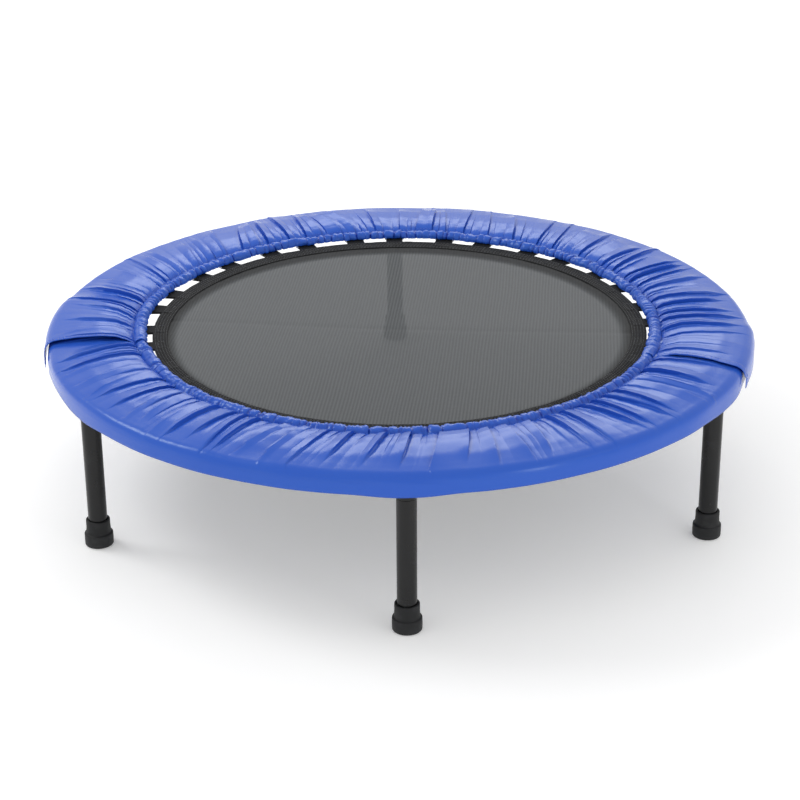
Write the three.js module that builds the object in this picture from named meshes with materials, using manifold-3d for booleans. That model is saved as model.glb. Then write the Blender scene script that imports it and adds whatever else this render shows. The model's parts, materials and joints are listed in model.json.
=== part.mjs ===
// Fold-in-half mini trampoline: a ring of steel tube in two hinged halves, six screw-in legs
// with rubber feet, a woven mat held by 32 springs, and a padded vinyl cover in two halves.
//
// Millimetres, +Z up. The origin is on the floor, in the middle of the ring. The fold line is
// the X axis. The front half is at -Y, and the rear half at +Y folds up and over it.
import * as THREE from 'three';
import { mergeVertices } from 'three/addons/utils/BufferGeometryUtils.js';
import Module from 'manifold-3d';

// Frame ring
const RING_RADIUS = 462; // to the middle of the tube
const RING_HEIGHT = 198; // middle of the tube above the floor
const TUBE_RADIUS = 12.5;
const TUBE_WALL = 1.5;
const TUBE_SIDES = 12;
const HALF_STEPS = 24; // straight stretches that each half ring is made of
const TUBE_END_GAP = 10; // from the fold line to the cut end of the tube

// Legs, feet and the sockets that the legs screw into
const LEG_RADIUS = 12.5;
const LEG_WALL = 1.5;
const ROUND_SIDES = 16; // sides of the other round pieces
const LEG_COUNT = 6;
const LEG_PHASE = 36; // degrees from the fold line to the first leg
const LEG_PLUG_HEIGHT = 10;
const STUD_RADIUS = 5;
const STUD_LENGTH = 20;
const STUD_CLEARANCE = 0.5;
const SOCKET_RIM = 1.5; // socket beyond the leg
const SOCKET_DROP = 5; // socket mouth below the underside of the ring tube
const SOCKET_RISE = 6.5; // socket wall above the underside of the ring tube
const FOOT_WALL = 3.2; // rubber around the leg in the foot's collar
const FOOT_FLARE = 2.7; // base beyond the collar
const FOOT_BASE_HEIGHT = 17.5;
const FOOT_HEIGHT = 36.5;
const FOOT_SOLE = 5;
const FOOT_EDGE = 1.6;

// Hinges
const PIN_OVER_TUBE = 2; // hinge axis above the top of the ring tube
const PIN_RADIUS = 3;
const PIN_CLEARANCE = 0.3;
const PIN_HEAD_RIM = 1.8; // head beyond the shank
const PIN_HEAD_HEIGHT = 2;
const LUG_WALL = 3.2; // around the pin's bore
const LUG_HALF_SPAN = 9; // half of the width over both ears of the fork
const TONGUE_HALF_WIDTH = 3.5;
const BRACKET_LENGTH = 38;
const BRACKET_WALL = 1.6; // around the ring tube
const BRACKET_GAP = 0.2; // each bracket's stop face from the fold line

// Mat, tabs and springs
const MAT_THICKNESS = 2;
const MAT_RISE = 9.4; // middle of the mat above the middle of the ring tube
const TAB_WIDTH = 25;
const TAB_LENGTH = 18;
const TAB_PAIRS = 16;
const TAB_SPREAD = 4.95; // degrees from the middle of a pair to each tab
const SPRING_SPAN = 93.5; // from a tab's end to the inside of the ring tube
const SPRING_RADIUS = 5.5;
const SPRING_RISE = 6.2; // spring axis above the middle of the ring tube
const SPRING_HOOK_RADIUS = 1.6;
const SPRING_HOOK_LENGTH = 8;
const SPRING_SIDES = 6;

// Pad: a vinyl cover over a foam ring
const COVER_OVERHANG = 4; // skirt beyond the ring tube and the sockets
const COVER_RISE = 11.5; // top above the top of the ring tube
const COVER_SKIRT_DROP = 5; // skirt's lower edge above the underside of the ring tube
const COVER_SET_BACK = 12; // inner rim beyond the edge of the mat
const COVER_LIP_RISE = 1.6; // inner rim's lower edge above the top of the mat
const COVER_CROWN = 2.5; // rise of the top from its inner edge
const COVER_INNER_ROUND = 16;
const COVER_OUTER_ROUND = 14;
const COVER_WALL = 2.5;
const COVER_END = 7.5; // degrees from the fold line to the end of each half cover
const COVER_STEPS = 22;
const FOAM_CLEARANCE = 0.8;
const FLAP_OVER = 1; // gap between the front cover and the flap that lies on it
const FLAP_WALL = 2.2;
const FLAP_BACK = 6; // degrees that a flap reaches behind the fold line
const FLAP_FRONT = 16.5; // degrees that a flap reaches in front of the fold line
const FLAP_STEPS = 4;

const CLEARANCE = 0.3; // between pieces that touch

const ringTop = RING_HEIGHT + TUBE_RADIUS;
const ringUnderside = RING_HEIGHT - TUBE_RADIUS;
const pinHeight = ringTop + PIN_OVER_TUBE;
const lugRadius = PIN_RADIUS + PIN_CLEARANCE + LUG_WALL;
const socketMouth = ringUnderside - SOCKET_DROP;
const socketRadius = LEG_RADIUS + SOCKET_RIM;
const tubeEndAngle = THREE.MathUtils.radToDeg(Math.asin(TUBE_END_GAP / RING_RADIUS));
const matHeight = RING_HEIGHT + MAT_RISE;
const tabEndRadius = RING_RADIUS - TUBE_RADIUS - SPRING_SPAN;
const matRadius = tabEndRadius - TAB_LENGTH;
const coverInner = matRadius + COVER_SET_BACK;
const coverOuter = RING_RADIUS + Math.max(TUBE_RADIUS, socketRadius) + COVER_OVERHANG;
const coverTop = ringTop + COVER_RISE;
const coverLip = matHeight + MAT_THICKNESS / 2 + COVER_LIP_RISE;
const coverSkirt = ringUnderside + COVER_SKIRT_DROP;

const PAINTED_STEEL = { color: 0x1c1c1e, roughness: 0.38, metalness: 0.6 };
const BARE_STEEL = { color: 0xb4b7bb, roughness: 0.3, metalness: 0.95 };
const RUBBER = { color: 0x232427, roughness: 0.75, metalness: 0 };
const MESH_FABRIC = { color: 0x2b2d2f, roughness: 0.8, metalness: 0 };
const BLUE_VINYL = { color: 0x2f4fc4, roughness: 0.32, metalness: 0 };
const WHITE_FOAM = { color: 0xe9e7e0, roughness: 0.9, metalness: 0 };

const wasm = await Module();
wasm.setup();

const radians = THREE.MathUtils.degToRad;

function solidOf(geometry) {
  const bare = geometry.clone();
  bare.deleteAttribute('normal');
  bare.deleteAttribute('uv');
  const merged = mergeVertices(bare, 1e-3);
  const vertProperties = new Float32Array(merged.attributes.position.array);
  const triVerts = new Uint32Array(merged.index.array);
  return new wasm.Manifold(new wasm.Mesh({ numProp: 3, vertProperties, triVerts }));
}

function geometryOf(solid) {
  const mesh = solid.getMesh();
  const geometry = new THREE.BufferGeometry();
  geometry.setAttribute('position', new THREE.BufferAttribute(mesh.vertProperties, mesh.numProp));
  geometry.setIndex(new THREE.BufferAttribute(mesh.triVerts, 1));
  geometry.computeVertexNormals();
  return geometry;
}

function piece(name, geometry, finish) {
  const mesh = new THREE.Mesh(geometry, new THREE.MeshStandardMaterial(finish));
  mesh.name = name;
  return mesh;
}

function polar(radius, angle) {
  return new THREE.Vector2(radius * Math.cos(radians(angle)), radius * Math.sin(radians(angle)));
}

// A level arc around the Z axis, from one angle to another in degrees
class LevelArc extends THREE.Curve {
  constructor(radius, from, to) {
    super();
    this.radius = radius;
    this.from = from;
    this.to = to;
  }

  getPoint(t, target = new THREE.Vector3()) {
    const place = polar(this.radius, THREE.MathUtils.lerp(this.from, this.to, t));
    return target.set(place.x, place.y, 0);
  }
}

// Sweeps a shape around the Z axis. The shape's x points down and its y points inwards.
function sweep(shape, from, to, steps, curveSegments = TUBE_SIDES / 2) {
  const extrudePath = new LevelArc(RING_RADIUS, from, to);
  return new THREE.ExtrudeGeometry(shape, { steps, curveSegments, bevelEnabled: false, extrudePath });
}

// Turns an outline of (radius, height) points into a shape for sweep()
function sectionShape(outline) {
  return new THREE.Shape(outline.map((p) => new THREE.Vector2(-p.y, RING_RADIUS - p.x)));
}

function circle(x, y, radius) {
  const shape = new THREE.Shape();
  shape.absarc(x, y, radius, 0, 2 * Math.PI, false);
  return shape;
}

function lathe(profile, sides) {
  const outline = profile.map(([radius, height]) => new THREE.Vector2(radius, height));
  return new THREE.LatheGeometry(outline, sides).rotateX(Math.PI / 2);
}

function box(low, high) {
  const size = high.map((value, axis) => value - low[axis]);
  const middle = high.map((value, axis) => (value + low[axis]) / 2);
  return new THREE.BoxGeometry(...size).translate(...middle);
}

function cylinder(radius, low, high, sides) {
  const length = high - low;
  const shape = new THREE.CylinderGeometry(radius, radius, length, sides);
  return shape.rotateX(Math.PI / 2).translate(0, 0, low + length / 2);
}

const legAngles = Array.from({ length: LEG_COUNT }, (_, i) => LEG_PHASE + (i * 360) / LEG_COUNT);
const halfLegAngles = legAngles.filter((angle) => angle < 180);

// One half of the ring, at +Y, with its three sockets welded on and open ends at the hinges
function frameHalf() {
  const ends = [tubeEndAngle, 180 - tubeEndAngle];
  const wall = circle(-RING_HEIGHT, 0, TUBE_RADIUS);
  wall.holes.push(circle(-RING_HEIGHT, 0, TUBE_RADIUS - TUBE_WALL));
  let frame = solidOf(sweep(wall, ...ends, HALF_STEPS));
  const core = solidOf(sweep(circle(-RING_HEIGHT, 0, TUBE_RADIUS - TUBE_WALL / 2), ...ends, HALF_STEPS));
  for (const angle of halfLegAngles) {
    const place = polar(RING_RADIUS, angle);
    const sleeve = cylinder(socketRadius, socketMouth, ringUnderside + SOCKET_RISE, ROUND_SIDES);
    const bore = cylinder(STUD_RADIUS + STUD_CLEARANCE, socketMouth - 1, RING_HEIGHT, ROUND_SIDES);
    frame = frame.add(solidOf(sleeve.translate(place.x, place.y, 0)).subtract(core));
    frame = frame.subtract(solidOf(bore.translate(place.x, place.y, 0)));
  }
  return geometryOf(frame);
}

// Side view of a hinge bracket: a sleeve on the tube's end, with a round lug on the hinge axis
function bracketOutline(half) {
  const outline = new THREE.Shape();
  const reach = TUBE_RADIUS + BRACKET_WALL;
  outline.moveTo(BRACKET_GAP, RING_HEIGHT - reach);
  outline.lineTo(BRACKET_LENGTH, RING_HEIGHT - reach);
  outline.lineTo(BRACKET_LENGTH, RING_HEIGHT + reach);
  outline.lineTo(lugRadius, RING_HEIGHT + reach);
  outline.absarc(0, pinHeight, lugRadius, 0, 1.5 * Math.PI, false);
  outline.lineTo(BRACKET_GAP, pinHeight - lugRadius);
  const curveSegments = 6;
  return new THREE.Shape(outline.getPoints(curveSegments).map((p) => new THREE.Vector2(p.x * half, p.y)));
}

// A bracket on the right (side 1) or left (side -1), on the rear (half 1) or front (half -1).
// freeSpans are the stretches across the hinge, from the tube's middle, that hold no lug.
function hingeBracket(side, half, freeSpans) {
  const reach = TUBE_RADIUS + BRACKET_WALL;
  const middle = side * RING_RADIUS;
  const body = new THREE.ExtrudeGeometry(bracketOutline(half), { depth: 2 * reach, bevelEnabled: false });
  // The outline's x and y become Y and Z, and its depth becomes X
  body.rotateY(Math.PI / 2).rotateX(Math.PI / 2).translate(middle - reach, 0, 0);
  let bracket = solidOf(body);
  const startAngle = tubeEndAngle - THREE.MathUtils.radToDeg(CLEARANCE / RING_RADIUS);
  const stretch = (180 - 2 * tubeEndAngle) / HALF_STEPS;
  const near = half * startAngle;
  const far = half * (tubeEndAngle + stretch);
  const angles = side > 0 ? [near, far] : [180 - near, 180 - far];
  const socket = circle(-RING_HEIGHT, 0, TUBE_RADIUS + CLEARANCE);
  bracket = bracket.subtract(solidOf(sweep(socket, Math.min(...angles), Math.max(...angles), 1)));
  const sweptRadius = lugRadius + 2 * CLEARANCE;
  for (const [from, to] of freeSpans) {
    const low = [middle + from, -sweptRadius, pinHeight - sweptRadius];
    const high = [middle + to, sweptRadius, pinHeight + sweptRadius];
    bracket = bracket.subtract(solidOf(box(low, high)));
  }
  const bore = cylinder(PIN_RADIUS + PIN_CLEARANCE, -2 * reach, 2 * reach, ROUND_SIDES);
  bore.rotateY(Math.PI / 2).translate(middle, 0, pinHeight);
  return geometryOf(bracket.subtract(solidOf(bore)));
}

function hingeFork(side) {
  const slot = TONGUE_HALF_WIDTH + CLEARANCE;
  const past = 2 * TUBE_RADIUS;
  return hingeBracket(side, -1, [[-slot, slot], [-past, -LUG_HALF_SPAN], [LUG_HALF_SPAN, past]]);
}

function hingeTongue(side) {
  const past = 2 * TUBE_RADIUS;
  return hingeBracket(side, 1, [[-past, -TONGUE_HALF_WIDTH], [TONGUE_HALF_WIDTH, past]]);
}

// A rivet along X, with a head outside each ear of the fork
function hingePin() {
  const ear = LUG_HALF_SPAN + CLEARANCE;
  const end = ear + PIN_HEAD_HEIGHT;
  const head = PIN_RADIUS + PIN_HEAD_RIM;
  const profile = [
    [0, -end], [head, -end], [head, -ear], [PIN_RADIUS, -ear],
    [PIN_RADIUS, ear], [head, ear], [head, end], [0, end],
  ];
  return lathe(profile, ROUND_SIDES).rotateY(Math.PI / 2);
}

// A tube with a plug welded in its top, and a threaded stud standing on the plug
function leg() {
  const foot = FOOT_SOLE + CLEARANCE;
  const shoulder = socketMouth - CLEARANCE;
  const bore = LEG_RADIUS - LEG_WALL;
  const profile = [
    [0, shoulder - LEG_PLUG_HEIGHT], [bore, shoulder - LEG_PLUG_HEIGHT], [bore, foot],
    [LEG_RADIUS, foot], [LEG_RADIUS, shoulder], [STUD_RADIUS, shoulder],
    [STUD_RADIUS, shoulder + STUD_LENGTH], [0, shoulder + STUD_LENGTH],
  ];
  return lathe(profile, ROUND_SIDES);
}

// A cap with a wide base, a narrower collar and a blind hole for the leg
function foot() {
  const bore = LEG_RADIUS + CLEARANCE;
  const collar = bore + FOOT_WALL;
  const base = collar + FOOT_FLARE;
  const profile = [
    [0, 0], [base - FOOT_EDGE, 0], [base, FOOT_EDGE],
    [base, FOOT_BASE_HEIGHT - FOOT_EDGE], [collar, FOOT_BASE_HEIGHT],
    [collar, FOOT_HEIGHT - FOOT_EDGE], [collar - FOOT_EDGE, FOOT_HEIGHT],
    [bore, FOOT_HEIGHT], [bore, FOOT_SOLE], [0, FOOT_SOLE],
  ];
  return lathe(profile, ROUND_SIDES);
}

function tabAngle(index) {
  const pair = Math.floor(index / 2);
  const side = index % 2 === 0 ? -1 : 1;
  return ((pair + 0.5) * 360) / TAB_PAIRS + side * TAB_SPREAD;
}

const tabAngles = Array.from({ length: 2 * TAB_PAIRS }, (_, i) => tabAngle(i));
const halfTabAngles = tabAngles.filter((angle) => angle < 180);

// Half of the mat, at +Y: half a disc with a webbing tab for each spring
function matHalf() {
  const outline = new THREE.Shape();
  const rootAngle = THREE.MathUtils.radToDeg(Math.asin(TAB_WIDTH / 2 / matRadius));
  const endAngle = THREE.MathUtils.radToDeg(Math.asin(CLEARANCE / matRadius));
  const points = [polar(matRadius, endAngle)];
  for (const angle of halfTabAngles) {
    const across = polar(TAB_WIDTH / 2, angle + 90);
    const end = polar(tabEndRadius, angle);
    points.push(polar(matRadius, angle - rootAngle), end.clone().sub(across));
    points.push(end.clone().add(across), polar(matRadius, angle + rootAngle));
  }
  points.push(polar(matRadius, 180 - endAngle));
  outline.setFromPoints(points);
  const mat = new THREE.ExtrudeGeometry(outline, { depth: MAT_THICKNESS, bevelEnabled: false });
  return mat.translate(0, 0, matHeight - MAT_THICKNESS / 2);
}

// A spring with its two hooks, as the plain solid that it fills, along X
function spring() {
  const start = tabEndRadius + CLEARANCE;
  const stretch = 180 / HALF_STEPS;
  const ringInside = RING_RADIUS * Math.cos(radians(stretch / 2)) - TUBE_RADIUS;
  const end = ringInside - CLEARANCE;
  const coil = SPRING_HOOK_LENGTH;
  const profile = [
    [0, start], [SPRING_HOOK_RADIUS, start], [SPRING_HOOK_RADIUS, start + coil],
    [SPRING_RADIUS, start + coil + SPRING_RADIUS / 2], [SPRING_RADIUS, end - coil - SPRING_RADIUS / 2],
    [SPRING_HOOK_RADIUS, end - coil], [SPRING_HOOK_RADIUS, end], [0, end],
  ];
  return lathe(profile, SPRING_SIDES).rotateY(Math.PI / 2).translate(0, 0, RING_HEIGHT + SPRING_RISE);
}

function quarter(middleRadius, middleHeight, radius, height, from, to, count) {
  return Array.from({ length: count + 1 }, (_, i) => {
    const angle = THREE.MathUtils.lerp(from, to, i / count);
    return polar(1, angle).multiply(new THREE.Vector2(radius, height)).add(
      new THREE.Vector2(middleRadius, middleHeight));
  });
}

// The pad's outline from its inner rim over the top to the skirt, moved outwards by offset
function coverLine(offset) {
  const innerTop = coverTop - COVER_CROWN;
  const inner = quarter(
    coverInner + COVER_INNER_ROUND, coverLip,
    COVER_INNER_ROUND + offset, innerTop - coverLip + offset, 180, 90, 3);
  const crown = new THREE.Vector2(coverInner + 4 * COVER_INNER_ROUND, coverTop + offset);
  const outer = quarter(
    coverOuter - COVER_OUTER_ROUND, coverTop - COVER_OUTER_ROUND,
    COVER_OUTER_ROUND + offset, COVER_OUTER_ROUND + offset, 90, 0, 3);
  const skirt = new THREE.Vector2(coverOuter + offset, coverSkirt);
  return [...inner, crown, ...outer, skirt];
}

function coverShell(inside, wall, from, to, steps) {
  const outline = [...coverLine(inside + wall), ...coverLine(inside).reverse()];
  return sweep(sectionShape(outline), from, to, steps);
}

function coverHalf() {
  return coverShell(-COVER_WALL, COVER_WALL, COVER_END, 180 - COVER_END, COVER_STEPS);
}

function coverFlap(from, to) {
  return coverShell(FLAP_OVER, FLAP_WALL, from, to, FLAP_STEPS);
}

// Half of the foam ring, between the springs and the cover's top
function foamHalf() {
  const bottom = ringTop + FOAM_CLEARANCE;
  const inner = coverInner + COVER_INNER_ROUND;
  const outer = coverOuter - COVER_OUTER_ROUND;
  const top = coverTop - COVER_WALL - FOAM_CLEARANCE;
  const outline = [
    [inner, bottom], [outer + COVER_OUTER_ROUND / 2, bottom],
    [outer, top], [inner + 3 * COVER_INNER_ROUND, top], [inner, top - COVER_CROWN],
  ].map(([radius, height]) => new THREE.Vector2(radius, height));
  return sweep(sectionShape(outline), COVER_END, 180 - COVER_END, COVER_STEPS);
}

function legSet(index) {
  const angle = legAngles[index];
  const set = new THREE.Group();
  const place = polar(RING_RADIUS, angle);
  set.position.set(place.x, place.y, 0);
  set.rotation.z = radians(angle);
  set.add(piece(`leg_${index + 1}`, leg(), PAINTED_STEEL));
  set.add(piece(`foot_${index + 1}`, foot(), RUBBER));
  return set;
}

function springSet() {
  const springs = new THREE.Group();
  tabAngles.forEach((angle, index) => {
    const number = String(index + 1).padStart(2, '0');
    const coil = piece(`spring_${number}`, spring(), BARE_STEEL);
    coil.rotation.z = radians(angle);
    springs.add(coil);
  });
  return springs;
}

// The pieces that both halves share, at +Y
function half(name) {
  const group = new THREE.Group();
  group.add(piece(`frame_${name}`, frameHalf(), PAINTED_STEEL));
  group.add(piece(`mat_${name}`, matHalf(), MESH_FABRIC));
  group.add(piece(`cover_${name}`, coverHalf(), BLUE_VINYL));
  group.add(piece(`foam_${name}`, foamHalf(), WHITE_FOAM));
  return group;
}

function hinge(name, side) {
  const group = new THREE.Group();
  group.add(piece(`hinge_fork_${name}`, hingeFork(side), PAINTED_STEEL));
  group.add(piece(`hinge_tongue_${name}`, hingeTongue(side), PAINTED_STEEL));
  const pin = piece(`hinge_pin_${name}`, hingePin(), BARE_STEEL);
  pin.position.set(side * RING_RADIUS, 0, pinHeight);
  group.add(pin);
  return group;
}

const trampoline = new THREE.Group();
const rear = half('rear');
const front = half('front');
front.rotation.z = Math.PI;
trampoline.add(rear, front, hinge('right', 1), hinge('left', -1), springSet());
trampoline.add(piece('flap_right', coverFlap(-FLAP_FRONT, FLAP_BACK), BLUE_VINYL));
trampoline.add(piece('flap_left', coverFlap(180 - FLAP_BACK, 180 + FLAP_FRONT), BLUE_VINYL));
legAngles.forEach((_, index) => trampoline.add(legSet(index)));

export default trampoline;
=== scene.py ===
"""Looks of a fold-in-half mini trampoline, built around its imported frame.

Each sub-assembly is a class that holds its sizes and builds and dresses its own pieces.
Lengths are metres and angles degrees. The fold line is the X axis and +Z is up. The front
half of the trampoline is at -Y, and the rear half at +Y folds up and over it.
"""

import json
import logging
import math
import random
from bisect import bisect_left, bisect_right
from collections.abc import Callable, Iterable, Sequence
from dataclasses import dataclass, field
from enum import Enum

import bmesh
import bpy
from mathutils import Matrix, Vector, noise


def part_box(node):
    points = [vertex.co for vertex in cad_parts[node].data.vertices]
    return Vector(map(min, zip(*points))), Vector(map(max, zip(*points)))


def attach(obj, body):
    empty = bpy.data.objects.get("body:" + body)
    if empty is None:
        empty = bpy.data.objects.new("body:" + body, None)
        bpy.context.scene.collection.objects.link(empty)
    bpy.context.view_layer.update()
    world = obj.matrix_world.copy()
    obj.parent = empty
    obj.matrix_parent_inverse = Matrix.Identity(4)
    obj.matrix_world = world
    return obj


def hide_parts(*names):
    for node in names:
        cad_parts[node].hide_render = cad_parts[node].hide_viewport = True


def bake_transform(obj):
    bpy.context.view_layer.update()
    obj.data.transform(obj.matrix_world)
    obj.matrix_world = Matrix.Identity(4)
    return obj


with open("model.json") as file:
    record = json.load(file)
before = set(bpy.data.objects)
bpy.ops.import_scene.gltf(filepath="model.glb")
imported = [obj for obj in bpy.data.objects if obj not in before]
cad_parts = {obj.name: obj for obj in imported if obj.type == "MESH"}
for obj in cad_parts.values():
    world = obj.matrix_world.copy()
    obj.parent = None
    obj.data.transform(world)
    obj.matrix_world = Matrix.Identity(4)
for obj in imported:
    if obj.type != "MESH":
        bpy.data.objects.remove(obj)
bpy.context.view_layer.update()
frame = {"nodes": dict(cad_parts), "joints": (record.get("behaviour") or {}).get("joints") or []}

LOG = logging.getLogger("trampoline")

Number = "Socket | float"
Colour = tuple[float, float, float]
Section = list[tuple[float, float]]

MAT_RADIUS = 0.338
MERGE_GAP = 1e-6
FINE_GAP = 1e-7


class Half(Enum):
    """The two bodies that the fold joins."""

    FRONT = "front_half"
    REAR = "rear_half"

    @property
    def word(self) -> str:
        """The name's first word, as the CAD nodes use it."""
        return self.value.split("_")[0]

    @property
    def start(self) -> float:
        """The angle at which this half begins, in degrees from +X."""
        return 0.0 if self is Half.REAR else 180.0


# ---------------------------------------------------------------------------- shader maths


class Socket:
    """A node's output that takes part in Python expressions."""

    def __init__(self, tree: "Tree", link: bpy.types.NodeSocket) -> None:
        """Wraps one output.

        Args:
            tree: The tree that the output belongs to.
            link: The output itself.
        """
        self.tree = tree
        self.link = link

    def math(self, operation: str, *values: Number) -> "Socket":
        """Adds a Math node.

        Args:
            operation: The node's operation.
            values: Its inputs, in order.

        Returns:
            The node's result.
        """
        return self.tree.node("ShaderNodeMath", {"operation": operation}, dict(enumerate(values)))

    def __add__(self, other: Number) -> "Socket":
        """self + other."""
        return self.math("ADD", self, other)

    __radd__ = __add__

    def __sub__(self, other: Number) -> "Socket":
        """self - other."""
        return self.math("SUBTRACT", self, other)

    def __rsub__(self, other: Number) -> "Socket":
        """other - self."""
        return self.math("SUBTRACT", other, self)

    def __mul__(self, other: Number) -> "Socket":
        """self * other."""
        return self.math("MULTIPLY", self, other)

    __rmul__ = __mul__

    def sine(self) -> "Socket":
        """The sine of self, in radians."""
        return self.math("SINE", self)

    def clamp(self) -> "Socket":
        """Self kept from 0 to 1."""
        return self.tree.node("ShaderNodeClamp", {}, {"Value": self})

    def between(self, low: float, high: float) -> "Socket":
        """A smooth step of self.

        Args:
            low: Where the step is still 0.
            high: Where it has reached 1.

        Returns:
            The step's height.
        """
        settings = {"interpolation_type": "SMOOTHSTEP"}
        return self.tree.node("ShaderNodeMapRange", settings, {"Value": self, 1: low, 2: high})


class Tree:
    """A material's node tree with one shader."""

    def __init__(self, name: str) -> None:
        """Starts a material.

        Args:
            name: The material's name.
        """
        self.material = bpy.data.materials.new(name)
        self.material.use_nodes = True
        self.nodes = self.material.node_tree.nodes
        self.links = self.material.node_tree.links
        self.shader = self.nodes["Principled BSDF"]

    def node(self, kind: str, settings: dict, inputs: dict, output: str | int = 0) -> Socket:
        """Adds a node.

        Args:
            kind: The node's type.
            settings: Its properties, which are set first.
            inputs: Values or links of its sockets, by name or number.
            output: Which output to give back.

        Returns:
            That output.
        """
        made = self.nodes.new(kind)
        for name, value in settings.items():
            setattr(made, name, value)
        for name, value in inputs.items():
            self.plug(made.inputs[name], value)
        return Socket(self, made.outputs[output])

    def plug(self, socket: bpy.types.NodeSocket, value: object) -> None:
        """Links a socket or sets its value.

        Args:
            socket: The input.
            value: A Socket, a number or a colour.
        """
        if isinstance(value, Socket):
            self.links.new(value.link, socket)
        elif isinstance(value, tuple) and socket.type == "RGBA":
            socket.default_value = (*value, 1.0)
        else:
            socket.default_value = value

    def set(self, **inputs: object) -> None:
        """Sets or links the shader's sockets; an underscore stands for a space."""
        for name, value in inputs.items():
            self.plug(self.shader.inputs[name.replace("_", " ")], value)

    def place(self) -> Socket:
        """Object coordinates."""
        return self.node("ShaderNodeTexCoord", {}, {}, "Object")

    def attribute(self, name: str) -> Socket:
        """The named attribute's value."""
        return self.node("ShaderNodeAttribute", {"attribute_name": name}, {}, "Fac")

    def scaled(self, x: float, y: float, z: float) -> Socket:
        """Object coordinates, stretched by a factor along each axis."""
        factor = (x, y, z)
        return self.node("ShaderNodeMapping", {}, {"Vector": self.place(), "Scale": factor})

    def axis(self, name: str) -> Socket:
        """One Object coordinate, by the letter X, Y or Z."""
        return self.node("ShaderNodeSeparateXYZ", {}, {"Vector": self.place()}, name)

    def noise(self, scale: float, detail: float = 2.0, vector: Socket | None = None) -> Socket:
        """Noise from 0 to 1.

        Args:
            scale: Its frequency, in cells a metre.
            detail: How many finer layers it has.
            vector: Where it is read, on Object coordinates if left out.

        Returns:
            The noise's value.
        """
        inputs = {"Vector": vector or self.place(), "Scale": scale, "Detail": detail}
        return self.node("ShaderNodeTexNoise", {}, inputs, "Fac")

    def cells(self, scale: float) -> Socket:
        """The distance to the nearest cell's middle, for a number of cells a metre."""
        inputs = {"Vector": self.place(), "Scale": scale}
        return self.node("ShaderNodeTexVoronoi", {"feature": "F1"}, inputs, "Distance")

    def mix(self, factor: Number, low: object, high: object) -> Socket:
        """Mixes two colours.

        Args:
            factor: 0 gives low and 1 gives high.
            low: A colour or a link.
            high: A colour or a link.

        Returns:
            The mixed colour.
        """
        settings = {"data_type": "RGBA"}
        return self.node("ShaderNodeMix", settings, {0: factor, 6: low, 7: high}, 2)

    def bump(self, height: Socket, distance: float, strength: float) -> None:
        """Feeds the shader's normal from a height.

        Args:
            height: The height, from 0 to 1.
            distance: What a height of 1 is in metres.
            strength: How much of the bump is used.
        """
        inputs = {"Height": height, "Distance": distance, "Strength": strength}
        self.set(Normal=self.node("ShaderNodeBump", {}, inputs))


# -------------------------------------------------------------------------------- finishes


class Finish:
    """What a piece is made of, as it looks."""

    def material(self, name: str) -> bpy.types.Material:
        """Makes a material with this finish.

        Args:
            name: The material's name.

        Returns:
            The material.
        """
        tree = Tree(name)
        self.paint(tree)
        return tree.material

    def paint(self, tree: Tree) -> None:
        """Sets up the shader, in a way of each finish's own."""
        raise NotImplementedError


@dataclass(frozen=True)
class Vinyl(Finish):
    """Soft glossy sheet with a fine pressed grain, and shade painted into its pleats and creases.
    """

    colour: Colour = (0.020, 0.090, 0.52)
    # Colour of the shade painted into the pleats' valleys and the casing's creases.
    painted_shade_colour: Colour = (0.012, 0.040, 0.36)
    worn: Colour = (0.032, 0.128, 0.55)
    sheen: Colour = (0.78, 0.95, 0.80)
    roughness: float = 0.23
    grain_cells: float = 620.0
    grain_depth: float = 0.00020
    gloss: float = 0.36
    coat: float = 0.03
    coat_roughness: float = 0.15

    def paint(self, tree: Tree) -> None:
        """Sets up the shader; the pieces carry an attribute from 0 to 1 that paints shade into the
        creases.

        Args:
            tree: The material's tree.
        """
        painted_shade = tree.attribute("painted_shade")
        cloudy = tree.noise(9.0, 3.0)
        scuffed = tree.noise(55.0, 4.0)
        base = tree.mix((cloudy * 0.35).clamp(), self.colour, self.worn)
        # Painted shade: the colour darkens in the pleats' valleys and the casing's creases.
        tree.set(Base_Color=tree.mix(painted_shade.between(0.15, 1.0), base, self.painted_shade_colour))
        tree.set(Roughness=(scuffed * 0.10 + cloudy * 0.05 + (self.roughness - 0.07)).clamp())
        grain = tree.cells(self.grain_cells) * 0.8 + tree.noise(1800.0, 2.0) * 0.3
        tree.bump(grain, self.grain_depth, 0.16)
        tree.set(Specular_IOR_Level=self.gloss, Specular_Tint=self.sheen)
        tree.set(Coat_Weight=self.coat, Coat_Roughness=self.coat_roughness)


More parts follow.
